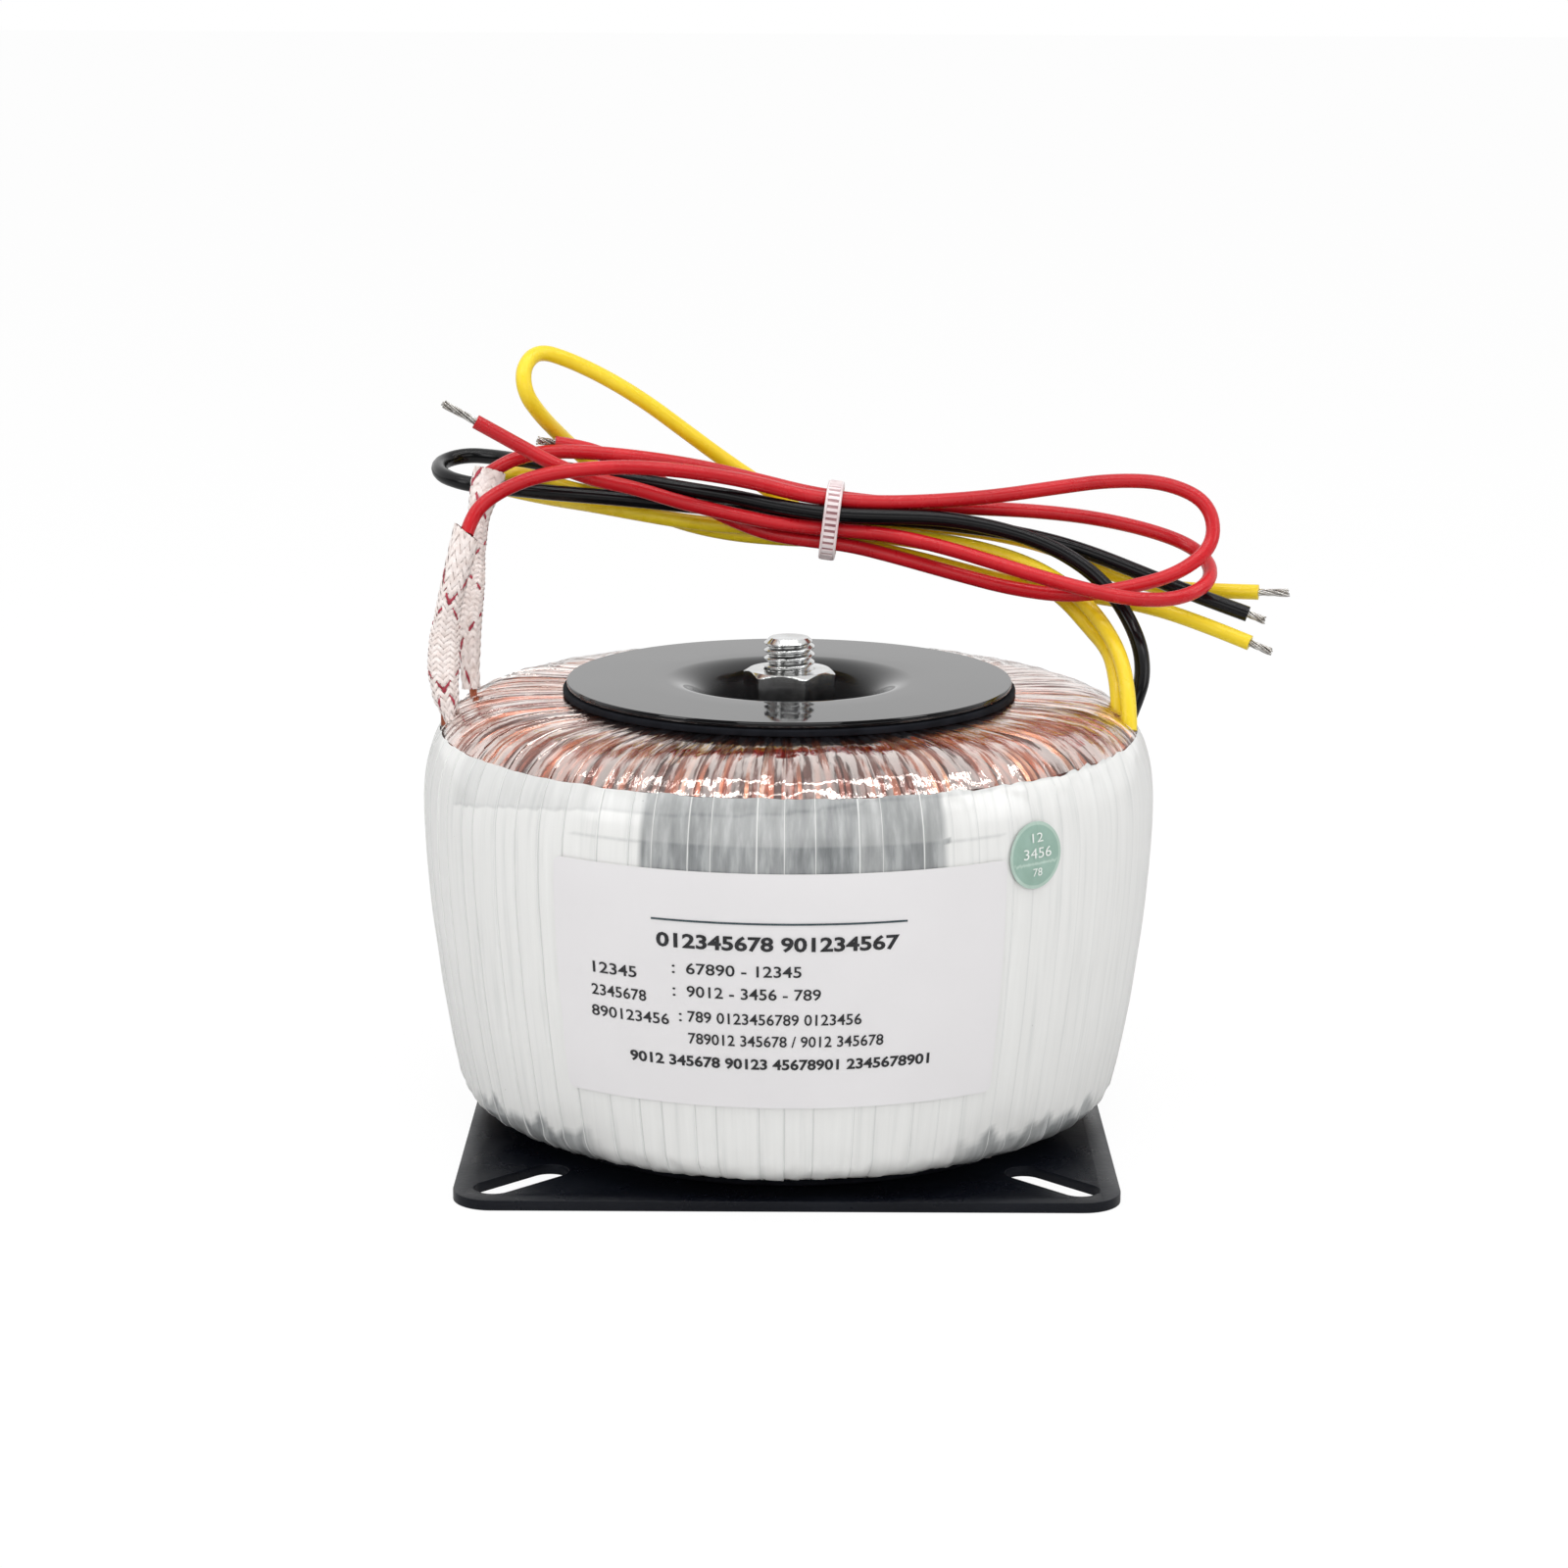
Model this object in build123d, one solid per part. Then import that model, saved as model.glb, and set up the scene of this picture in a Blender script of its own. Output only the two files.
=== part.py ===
from build123d import *
import math
import os

# Toroidal transformer on a square mounting plate, in millimetres.
# The origin is under the middle of the plate, +Z is up along the clamping bolt,
# and -Y is the side with the label.

# Mounting plate
plate_side = 100.0
plate_sheet = 1.6
plate_corner = 6.0
slot_width = 6.0
slot_length = 17.0
slot_offset = 40.0
dome_foot_radius = 17.4
dome_top_radius = 11.0
dome_rim = 3.2

# Wound body, measured over the clear film
body_height = 65.4
hole_radius = 20.0
belly_radius = 57.5
belly_height = 48.5
hole_lip = 5.0
crown_margin = 3.0
crown_fullness = 0.615
shoulder_fullness = 0.917
side_fullness = 0.364
foot_in = 5.3
foot_rise = 4.5
foot_lean = 0.28
foot_pull = 6.0
foot_flat_in = 14.5
foot_flat_pull = 5.5
shoulder_count = 6
side_count = 5
foot_count = 3

# Core and windings, from the inside out
hole_build = 11.0
side_build = 10.5
end_build = 9.7
core_edge = 0.6
core_tape = 1.0
primary_build = 2.6
winding_tape = 0.6
film_build = 0.5
layer_gap = 0.05

# Laps of the clear film, and the white band under it round the side
laps = 72
lap_step = 0.3
band_build = 0.4
band_top_drop = 5.2
band_foot_rise = 1.0

# Label and inspection sticker
paper = 0.15
label_width = 70.0
label_height = 36.0
label_rise = 14.0
label_turn = -1.5
label_corner = 0.8
sticker_diameter = 10.0
sticker_drop = 15.5
sticker_turn = 38.9
sheet_margin_deg = 4.0

# Clamp: pads, dished washer, bolt, nut and washers
base_pad_thickness = 1.9
base_pad_hole = 24.0
top_pad_thickness = 1.0
top_pad_hole = 21.0
pad_overhang = 0.6
dish_radius = 35.0
dish_sheet = 1.1
dish_depth = 8.6
dish_funnel_radius = 15.2
dish_floor_radius = 9.9
dish_roll = 7.9
dish_floor_roll = 2.0
bolt_diameter = 8.0
bolt_length = 70.0
bolt_chamfer = 0.8
hex_across_flats = 13.0
hex_chamfer_deg = 30.0
head_height = 5.3
head_ground_gap = 2.3
nut_height = 6.5
nut_turn = 19.5
bolt_clearance = 0.25
thread_clearance = 0.02
flat_washer_radius = 8.0
flat_washer_thickness = 1.6
spring_washer_radius = 7.1
spring_washer_thickness = 2.0
spring_washer_split = 1.0
spring_washer_slant_deg = 25.0

# Leads, sleeves and cable tie
red_diameter = 2.3
lead_diameter = 2.5
arc_share = 0.45
strand_diameter = 1.3
tail_diameter = 1.2
sleeve_width = 4.2
sleeve_depth = 3.4
sleeve_wall = 0.4
pocket_clearance = 0.1
pocket_reach = 7.0
tie_width = 2.6
tie_strap = 0.85
tie_inside_width = 11.5
tie_inside_height = 10.3
tie_corner = 2.8
tie_head = 4.6
tie_head_height = 5.4
tie_tail_out = 2.5
tie_centre = (6.7, 17.15, 93.6)
tie_direction = (0.992, -0.047, -0.119)

# Sizes that follow from the ones above
body_bottom = plate_sheet + base_pad_thickness
body_top = body_bottom + body_height
rim_top = body_top + top_pad_thickness + dish_sheet
dish_floor = rim_top - dish_depth
bolt_radius = bolt_diameter / 2
crown_radius = dish_radius + crown_margin
flat_radius = belly_radius - foot_flat_in
core_inner_radius = hole_radius + hole_build
core_outer_radius = belly_radius - side_build
core_height = body_height - 2 * end_build
sticker_rise = body_height - sticker_drop
belly_level = body_bottom + belly_height
lap_half_turn = math.radians(180 / laps)
lap_half_chord = belly_radius * math.tan(lap_half_turn)
lap_rise = math.hypot(belly_radius + lap_step / 2, lap_half_chord) - belly_radius
head_seat = head_ground_gap + head_height
hole_clear_radius = bolt_radius + bolt_clearance
band_outer = film_build + layer_gap
band_inner = band_outer + band_build
label_inner = lap_rise + layer_gap

# Routes of the leads, from where each leaves the winding or its sleeve to its bare end
front_red_route = [
    (-50.35, -1.55, 93.9), (-49.7, -0.5, 96.0), (-48.0, 0.5, 98.4), (-44.6, 1.2, 100.6),
    (-39.8, 1.8, 102.5), (-33.4, 2.8, 103.5), (-25.1, 5.2, 103.7), (-15.9, 8.8, 102.5),
    (-5.9, 12.0, 100.4), (2.9, 14.2, 97.7), (12.6, 14.5, 96.8), (22.3, 14.0, 97.1),
    (32.4, 13.6, 98.0), (42.2, 13.4, 99.5), (51.2, 13.2, 100.8), (59.9, 12.8, 100.6),
    (66.8, 11.6, 97.5), (67.5, 8.4, 91.2), (61.5, 5.8, 86.9), (53.4, 5.4, 84.7),
    (44.9, 6.4, 83.1), (35.5, 9.4, 83.8), (26.3, 12.2, 85.8), (16.9, 14.6, 88.1),
    (9.5, 15.7, 89.8), (2.7, 15.8, 90.5), (-3.6, 16.4, 91.4), (-9.9, 17.6, 93.7),
    (-16.7, 17.5, 97.2), (-23.2, 17.3, 101.0), (-29.2, 17.2, 103.8), (-33.4, 16.6, 105.3),
    (-37.6, 15.9, 106.0),
]
rear_red_route = [
    (-47.9, 11.0, 101.6), (-45.7, 11.6, 103.1), (-42.3, 12.4, 104.4), (-37.4, 13.0, 105.1),
    (-30.6, 13.8, 104.7), (-22.5, 15.0, 103.7), (-13.8, 16.0, 102.2), (-5.0, 16.8, 100.0),
    (3.5, 17.4, 97.8), (13.0, 17.6, 96.5), (22.4, 17.6, 95.8), (31.9, 17.6, 95.5),
    (40.7, 18.0, 95.0), (49.6, 18.4, 93.9), (58.2, 18.4, 92.0), (64.6, 16.0, 89.9),
    (67.3, 10.6, 87.5), (66.1, 5.4, 85.1), (60.9, 2.2, 83.4), (54.1, 1.9, 83.4),
    (46.7, 3.0, 84.8), (39.1, 5.0, 86.6), (31.5, 7.8, 88.6), (23.8, 10.6, 90.5),
    (15.3, 13.2, 92.0), (7.0, 14.3, 92.5), (-1.2, 13.3, 93.4), (-9.3, 12.1, 95.2),
    (-17.1, 11.2, 97.1), (-24.5, 10.0, 99.6), (-31.4, 8.0, 101.3), (-37.3, 6.6, 103.8),
    (-42.8, 6.2, 106.9), (-49.3, 5.6, 110.6),
]
black_route = [
    (53.6, 0.5, 64.6), (55.0, 1.2, 67.9), (56.0, 2.8, 71.0), (55.8, 5.2, 75.0),
    (54.3, 8.4, 78.8), (51.7, 10.6, 82.9), (47.4, 12.0, 86.9), (41.4, 12.6, 90.4),
    (33.5, 12.8, 93.0), (24.6, 12.8, 94.6), (15.7, 12.9, 94.8), (7.4, 12.9, 95.0),
    (-1.2, 12.9, 96.2), (-9.0, 12.9, 97.9), (-16.8, 13.0, 99.1), (-24.6, 13.4, 100.4),
    (-31.3, 15.6, 101.2), (-37.2, 19.4, 101.4), (-42.9, 24.0, 101.9), (-48.0, 28.2, 102.1),
    (-53.3, 30.0, 102.2), (-57.3, 27.0, 101.3), (-56.4, 19.0, 100.4), (-52.3, 14.8, 99.6),
    (-47.5, 13.6, 99.2), (-43.0, 12.4, 99.0), (-37.7, 12.0, 98.5), (-31.5, 12.2, 98.0),
    (-24.7, 13.2, 97.3), (-17.5, 14.4, 96.4), (-9.8, 15.3, 95.5), (-1.5, 16.0, 94.9),
    (6.7, 16.1, 94.6), (15.3, 16.1, 94.1), (24.8, 16.3, 93.3), (33.4, 16.4, 92.2),
    (41.4, 16.8, 90.6), (48.7, 16.8, 88.4), (56.3, 15.2, 85.6), (64.4, 12.2, 82.7),
    (73.2, 10.0, 79.8),
]
front_yellow_route = [
    (53.1, -7.0, 64.2), (53.1, -6.0, 66.8), (52.9, -3.8, 70.4), (52.3, -0.2, 74.1),
    (50.6, 4.6, 77.6), (47.6, 9.4, 81.2), (43.7, 12.0, 84.4), (37.8, 13.8, 87.4),
    (30.3, 15.8, 89.4), (22.5, 17.2, 90.6), (14.6, 17.4, 91.3), (7.0, 17.5, 92.2),
    (-1.2, 18.8, 92.1), (-9.1, 19.8, 92.1), (-17.0, 19.6, 92.9), (-25.3, 19.8, 94.3),
    (-32.3, 21.6, 95.3), (-38.3, 25.6, 95.6), (-44.2, 28.0, 96.4), (-48.5, 25.4, 97.9),
    (-48.6, 19.4, 100.0), (-44.8, 15.0, 101.2), (-40.5, 14.4, 100.7), (-36.3, 15.2, 99.0),
    (-32.0, 17.0, 97.8), (-25.7, 19.6, 97.2), (-17.8, 20.4, 97.3), (-9.5, 20.2, 96.2),
    (-1.2, 19.6, 95.2), (6.7, 19.2, 94.2), (15.4, 19.4, 93.4), (24.9, 19.3, 92.4),
    (33.9, 19.4, 91.1), (41.6, 19.7, 89.2), (48.4, 20.2, 86.4), (53.8, 19.6, 84.0),
    (60.3, 17.8, 82.7), (67.7, 15.8, 82.6), (75.3, 14.0, 82.7),
]
rear_yellow_route = [
    (51.9, -2.0, 64.9), (51.9, -1.0, 67.3), (51.7, 1.4, 70.6), (50.9, 5.4, 74.6),
    (48.0, 11.2, 77.4), (44.3, 14.8, 81.3), (38.6, 16.1, 85.3), (31.4, 18.5, 87.7),
    (23.4, 19.9, 89.4), (15.5, 20.5, 90.5), (8.6, 20.8, 91.3), (3.4, 21.6, 93.0),
    (-2.8, 22.9, 97.2), (-10.0, 22.2, 102.1), (-16.7, 21.0, 107.2), (-23.0, 19.6, 112.1),
    (-29.2, 18.8, 116.0), (-35.1, 18.4, 118.9), (-40.1, 16.8, 120.7), (-42.4, 13.2, 118.4),
    (-42.0, 11.2, 114.5), (-39.7, 14.0, 110.6), (-37.0, 20.0, 106.7), (-33.7, 24.0, 102.8),
    (-29.6, 25.4, 98.7), (-24.8, 24.8, 95.0), (-18.4, 23.4, 92.3), (-10.4, 22.4, 90.6),
    (-2.0, 21.3, 90.0), (6.4, 18.9, 90.1), (15.4, 18.5, 88.4), (25.0, 18.4, 86.1),
    (35.3, 18.9, 83.3), (45.8, 18.4, 81.7), (55.7, 15.2, 80.7), (64.5, 11.4, 78.7),
    (73.4, 8.0, 75.5),
]
front_sleeve_route = [
    (-53.9, -4.7, 67.4), (-54.0, -4.1, 73.4), (-53.6, -3.4, 80.0), (-52.4, -2.6, 86.4),
    (-50.3, -1.5, 94.2),
]
rear_sleeve_route = [
    (-50.4, 2.5, 70.6), (-50.9, 3.2, 77.0), (-50.1, 4.6, 84.0), (-49.7, 6.4, 90.0),
    (-49.3, 8.8, 96.0), (-47.6, 11.1, 102.2),
]
front_tail_foot = (-53.9, -4.9, 64.2)
rear_tail_foot = (-49.8, 2.2, 65.6)

# Bare tinned length past the insulation of each lead
front_red_strip = 3.0
rear_red_strip = 6.0
black_strip = 3.0
front_yellow_strip = 5.0
rear_yellow_strip = 4.0
tail_lead_in = 1.0


def turned_radii(points):
    """Largest arc at each corner of a route: a share of the shorter run over tan of half the turn."""
    corners = [Vector(point) for point in points]
    radii = []
    for before, here, after in zip(corners, corners[1:], corners[2:]):
        turn = math.radians((here - before).get_angle(after - here))
        shorter = min((here - before).length, (after - here).length)
        radii.append(arc_share * shorter / math.tan(turn / 2))
    return radii


def route_wire(points):
    """Straight runs joined by tangent arcs."""
    if len(points) == 2:
        return Wire([Edge.make_line(*points)])
    return FilletPolyline(*points, radius=turned_radii(points)).wire()


def start_plane(wire):
    """Plane square to the start of a route, its local X as near to world X as it can be."""
    along = wire % 0
    across = Vector(1, 0, 0) - along * along.dot(Vector(1, 0, 0))
    return Plane(wire @ 0, x_dir=across, z_dir=along)


def tube(points, diameter):
    """Round solid along a route."""
    wire = route_wire(points)
    return sweep(start_plane(wire) * Circle(diameter / 2), path=wire)


def body_outline(grow=0.0):
    """Half section of the wound body over its film, as a face in the XZ plane."""
    foot_radius = belly_radius - foot_in
    foot_level = body_bottom + foot_rise
    crown_pull = crown_fullness * (belly_radius - crown_radius)
    shoulder_pull = shoulder_fullness * (body_top - belly_level)
    side_pull = side_fullness * (belly_level - foot_level)
    stretches = [
        (shoulder_count, Bezier(
            (crown_radius, 0, body_top),
            (crown_radius + crown_pull, 0, body_top),
            (belly_radius, 0, belly_level + shoulder_pull),
            (belly_radius, 0, belly_level),
        )),
        (side_count, Bezier(
            (belly_radius, 0, belly_level),
            (belly_radius, 0, belly_level - side_pull),
            (foot_radius + foot_lean * foot_pull, 0, foot_level + foot_pull),
            (foot_radius, 0, foot_level),
        )),
        (foot_count, Bezier(
            (foot_radius, 0, foot_level),
            (foot_radius - foot_lean * foot_rise / 2, 0, foot_level - foot_rise / 2),
            (flat_radius + foot_flat_pull, 0, body_bottom),
            (flat_radius, 0, body_bottom),
        )),
    ]
    corners = [curve @ (step / count) for count, curve in stretches for step in range(count)]
    lip_cut = hole_lip * (1 - math.sqrt(0.5))
    corners += [
        Vector(flat_radius, 0, body_bottom),
        Vector(hole_radius + hole_lip, 0, body_bottom),
        Vector(hole_radius + lip_cut, 0, body_bottom + lip_cut),
        Vector(hole_radius, 0, body_bottom + hole_lip),
        Vector(hole_radius, 0, body_top - hole_lip),
        Vector(hole_radius + lip_cut, 0, body_top - lip_cut),
        Vector(hole_radius + hole_lip, 0, body_top),
    ]
    face = make_face(Polyline(*corners, close=True))
    if grow:
        face = offset(face, amount=grow, kind=Kind.INTERSECTION)
    return face


def band(face, low, high, inner):
    """Part of a half section outside a radius and between two heights."""
    reach = 2 * belly_radius
    window = Plane.XZ * Pos(inner + reach / 2, (low + high) / 2) * Rectangle(reach, high - low)
    return face & window


def ring(face):
    """Solid turned from a half section."""
    return revolve(face, axis=Axis.Z)


def lapped_ring(face):
    """Ring of flat laps, each a little turned so that one edge stands proud by the lap step."""
    lean = math.degrees(math.atan(lap_step / 2 / lap_half_chord))
    hinge = Pos(belly_radius, 0, 0)
    strip = hinge * Rot(0, 0, -lean) * hinge.inverse() * extrude(face, amount=2 * lap_half_chord, both=True)
    reach = 2 * belly_radius
    corner = reach * math.tan(lap_half_turn)
    sector = extrude(
        make_face(Polyline((0, 0), (reach, -corner), (reach, corner), close=True)),
        amount=2 * rim_top,
    )
    lap = strip & sector
    copies = [Rot(0, 0, 360 / laps * count) * lap for count in range(laps)]
    return copies[0].fuse(*copies[1:]).solid()


def box_ring(inner, outer, height, edge):
    """Ring of rectangular section round the middle of the body, its edges turned down."""
    middle = body_bottom + body_height / 2
    low = middle - height / 2
    high = middle + height / 2
    return ring(make_face(Polyline(
        (inner + edge, 0, low),
        (outer - edge, 0, low),
        (outer, 0, low + edge),
        (outer, 0, high - edge),
        (outer - edge, 0, high),
        (inner + edge, 0, high),
        (inner, 0, high - edge),
        (inner, 0, low + edge),
        close=True,
    )))


def hexagon(across_flats, height, turn, chamfer_top, chamfer_bottom):
    """Hexagonal prism on the XY plane with its corners turned off at the chosen ends."""
    corner_radius = across_flats / math.sqrt(3)
    prism = extrude(Rot(0, 0, turn) * RegularPolygon(corner_radius, 6), amount=height)
    fall = (corner_radius - across_flats / 2) * math.tan(math.radians(hex_chamfer_deg))
    low = fall if chamfer_bottom else 0
    high = fall if chamfer_top else 0
    flat = across_flats / 2
    profile = [(0, 0), (flat, 0), (corner_radius, low), (corner_radius, height - high)]
    profile += [(flat, height), (0, height)]
    points = []
    for radius, level in profile:
        if not points or points[-1] != (radius, 0, level):
            points.append((radius, 0, level))
    return prism & ring(make_face(Polyline(*points, close=True)))


def around(radius, height, level):
    """Cylinder on the axis, from a level upwards."""
    return Pos(0, 0, level) * Cylinder(radius, height, align=(Align.CENTER, Align.CENTER, Align.MIN))


def washer(outer, inner, thickness, level):
    return around(outer, thickness, level) - around(inner, thickness, level)


def base_plate():
    """Square sheet with four diagonal slots, domed in the middle over the bolt head."""
    outline = RectangleRounded(plate_side, plate_side, plate_corner)
    for side in (1, -1):
        for end in (1, -1):
            slot = Pos(side * slot_offset, end * slot_offset) * Rot(0, 0, side * end * 45)
            outline -= slot * SlotOverall(slot_length, slot_width)
    blank_hole = dome_foot_radius + dome_rim
    sheet = extrude(outline - Circle(blank_hole), amount=plate_sheet)
    slope = math.atan2(head_seat, dome_foot_radius - dome_top_radius)
    spread = plate_sheet * math.tan(slope / 2)
    dome = make_face(Polyline(
        (blank_hole, 0, 0),
        (dome_foot_radius, 0, 0),
        (dome_top_radius, 0, head_seat),
        (hole_clear_radius, 0, head_seat),
        (hole_clear_radius, 0, head_seat + plate_sheet),
        (dome_top_radius + spread, 0, head_seat + plate_sheet),
        (dome_foot_radius + spread, 0, plate_sheet),
        (blank_hole, 0, plate_sheet),
        close=True,
    ))
    return sheet + ring(dome)


def dished_washer():
    """Pressed steel disc with a flat rim, a rolled funnel and a flat floor for the nut."""
    run_in = dish_funnel_radius - dish_floor_radius
    slope = math.atan2(dish_depth, run_in)
    spread = dish_sheet * math.tan(slope / 2)
    edge = dish_radius
    top = FilletPolyline(
        (edge, 0, rim_top),
        (dish_funnel_radius, 0, rim_top),
        (dish_floor_radius, 0, dish_floor),
        (hole_clear_radius, 0, dish_floor),
        radius=[dish_roll, dish_floor_roll],
    )
    under = FilletPolyline(
        (edge, 0, rim_top - dish_sheet),
        (dish_funnel_radius + spread, 0, rim_top - dish_sheet),
        (dish_floor_radius + spread, 0, dish_floor - dish_sheet),
        (hole_clear_radius, 0, dish_floor - dish_sheet),
        radius=[dish_roll - dish_sheet, dish_floor_roll + dish_sheet],
    )
    ends = [
        Line((edge, 0, rim_top), (edge, 0, rim_top - dish_sheet)),
        Line((hole_clear_radius, 0, dish_floor), (hole_clear_radius, 0, dish_floor - dish_sheet)),
    ]
    return ring(make_face(top.edges() + under.edges() + ends[0].edges() + ends[1].edges()))


def clamp_bolt():
    """Hexagon-head bolt pushed up through the plate, the body and the dished washer."""
    head = Pos(0, 0, head_ground_gap) * hexagon(hex_across_flats, head_height, 0, False, True)
    shank = around(bolt_radius, bolt_length, head_seat)
    shank = chamfer(shank.edges().group_by(Axis.Z)[-1], length=bolt_chamfer)
    return head + shank


def hex_nut(level):
    nut = Pos(0, 0, level) * hexagon(hex_across_flats, nut_height, nut_turn, True, True)
    return nut - around(bolt_radius + thread_clearance, nut_height, level)


def spring_washer(level):
    """Ring with a slanting cut through one side."""
    middle = level + spring_washer_thickness / 2
    cutter = Box(2 * spring_washer_radius, spring_washer_split, 4 * spring_washer_thickness)
    side = Rot(0, 0, nut_turn) * Pos(spring_washer_radius, 0, middle)
    split = side * Rot(spring_washer_slant_deg) * cutter
    return washer(spring_washer_radius, hole_clear_radius, spring_washer_thickness, level) - split


def paper_shell():
    """Thin half section lying on the clear film, all the way up the side."""
    sheet = body_outline(label_inner + paper) - body_outline(label_inner)
    return band(sheet, body_bottom, body_top, crown_radius)


def round_the_side(face, sweep_deg, turn_deg):
    """Part-turn of a half section, centred on a direction measured from -Y towards +X."""
    return Rot(0, 0, turn_deg - 90 - sweep_deg / 2) * revolve(face, axis=Axis.Z, revolution_arc=sweep_deg)


def radial_punch(shape, rise, turn_deg):
    """Flat outline pushed outwards through the side at a height and a direction."""
    level = body_bottom + rise
    bore = extrude(Plane.XZ * Pos(0, level) * shape, amount=2 * belly_radius)
    return Rot(0, 0, turn_deg) * bore


def label():
    sweep_deg = math.degrees(label_width / (belly_radius + label_inner))
    sheet = round_the_side(paper_shell(), sweep_deg + 2 * sheet_margin_deg, label_turn)
    chord = 2 * belly_radius * math.sin(math.radians(sweep_deg / 2))
    outline = RectangleRounded(chord, label_height, label_corner)
    return sheet & radial_punch(outline, label_rise + label_height / 2, label_turn)


def inspection_sticker():
    sweep_deg = math.degrees(sticker_diameter / belly_radius)
    sheet = round_the_side(paper_shell(), sweep_deg + 2 * sheet_margin_deg, sticker_turn)
    return sheet & radial_punch(Circle(sticker_diameter / 2), sticker_rise, sticker_turn)


def sleeve(points):
    """Flattened braided tube, open at both ends."""
    wire = route_wire(points)
    plane = start_plane(wire)
    outside = sweep(plane * Ellipse(sleeve_width / 2, sleeve_depth / 2), path=wire)
    inside = sweep(
        plane * Ellipse(sleeve_width / 2 - sleeve_wall, sleeve_depth / 2 - sleeve_wall), path=wire
    )
    return outside - inside


def winding_tail(foot, sleeve_points, lead_points):
    """Enamelled end of the winding, up inside its sleeve to the end face of the lead."""
    start = Vector(*lead_points[0])
    along = (Vector(*lead_points[1]) - start).normalized()
    return tube([foot] + sleeve_points[:-1] + [start - along * tail_lead_in, start], tail_diameter)


def bare_end(lead_points, length):
    """Tinned strands in line with the end of the lead."""
    last = Vector(*lead_points[-1])
    along = (last - Vector(*lead_points[-2])).normalized()
    return tube([last, last + along * length], strand_diameter)


def pocket(points, diameter):
    """Room in the winding for a wire that comes up out of it."""
    foot, above = Vector(*points[0]), Vector(*points[1])
    along = (above - foot).normalized()
    plane = Plane(foot - along * pocket_clearance, z_dir=along)
    return extrude(plane * Circle(diameter / 2 + pocket_clearance), amount=pocket_reach)


def cable_tie():
    """Nylon strap round the bundle, its head at the back."""
    plane = Plane(tie_centre, x_dir=(0, 1, 0), z_dir=tie_direction)
    outside = RectangleRounded(
        tie_inside_width + 2 * tie_strap, tie_inside_height + 2 * tie_strap, tie_corner + tie_strap
    )
    inside = RectangleRounded(tie_inside_width, tie_inside_height, tie_corner)
    strap = extrude(plane * (outside - inside), amount=tie_width / 2, both=True)
    head_at = (tie_inside_width + tie_strap + tie_head) / 2
    head_outline = Rectangle(tie_head, tie_head_height)
    head = extrude(plane * Pos(head_at, 0) * head_outline, amount=tie_head / 2, both=True)
    tail_at = tie_inside_width / 2 + tie_strap + tie_tail_out
    tail = extrude(
        plane * Pos(tail_at, tie_head_height / 2 + tie_strap) * Rectangle(tie_strap, 2 * tie_strap),
        amount=tie_width / 2, both=True,
    )
    return strap + head + tail


pockets = [
    pocket(front_yellow_route, lead_diameter),
    pocket(rear_yellow_route, lead_diameter),
    pocket(black_route, lead_diameter),
    pocket([front_tail_foot, front_sleeve_route[0]], tail_diameter),
    pocket([rear_tail_foot, rear_sleeve_route[0]], tail_diameter),
]

# Nested rings, each a gap inside the next one, with bevels that stay parallel
bevel_growth = 2 - math.sqrt(2)
core_tape_inner = core_inner_radius - layer_gap - core_tape
core_tape_outer = core_outer_radius + layer_gap + core_tape
core_tape_height = core_height + 2 * (layer_gap + core_tape)
primary_inner = core_tape_inner - layer_gap - primary_build
primary_outer = core_tape_outer + layer_gap + primary_build
primary_height = core_tape_height + 2 * (layer_gap + primary_build)
tape_inner = primary_inner - layer_gap - winding_tape
tape_outer = primary_outer + layer_gap + winding_tape
tape_height = primary_height + 2 * (layer_gap + winding_tape)


def hollow_of(inner, outer, height, edge):
    """Space that leaves a layer gap round a nested ring."""
    return box_ring(
        inner - layer_gap, outer + layer_gap, height + 2 * layer_gap, edge + layer_gap * bevel_growth
    )


tape_edge = core_edge + core_tape * bevel_growth
primary_edge = tape_edge + primary_build * bevel_growth
shield_edge = primary_edge + winding_tape * bevel_growth
core = box_ring(core_inner_radius, core_outer_radius, core_height, core_edge)
core_insulation = box_ring(core_tape_inner, core_tape_outer, core_tape_height, tape_edge) - hollow_of(
    core_inner_radius, core_outer_radius, core_height, core_edge
)
primary_winding = box_ring(primary_inner, primary_outer, primary_height, primary_edge) - hollow_of(
    core_tape_inner, core_tape_outer, core_tape_height, tape_edge
)
winding_insulation = box_ring(tape_inner, tape_outer, tape_height, shield_edge) - hollow_of(
    primary_inner, primary_outer, primary_height, primary_edge
)
band_low = body_bottom + band_foot_rise
band_high = body_top - band_top_drop
band_room = band(
    body_outline() - body_outline(-band_inner - layer_gap),
    band_low - layer_gap,
    band_high + layer_gap,
    crown_radius,
)
secondary_winding = ring(body_outline(-film_build - layer_gap) - band_room) - hollow_of(
    tape_inner, tape_outer, tape_height, shield_edge
) - pockets
side_wrap = ring(band(
    body_outline(-band_outer) - body_outline(-band_inner), band_low, band_high, crown_radius
)) - pockets
outer_film = lapped_ring(body_outline()) - ring(body_outline(-film_build)) - pockets

flat_washer_level = dish_floor
spring_washer_level = flat_washer_level + flat_washer_thickness
nut_level = spring_washer_level + spring_washer_thickness

leads = {
    "front_red": (front_red_route, red_diameter, front_red_strip),
    "rear_red": (rear_red_route, red_diameter, rear_red_strip),
    "black": (black_route, lead_diameter, black_strip),
    "front_yellow": (front_yellow_route, lead_diameter, front_yellow_strip),
    "rear_yellow": (rear_yellow_route, lead_diameter, rear_yellow_strip),
}

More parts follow.
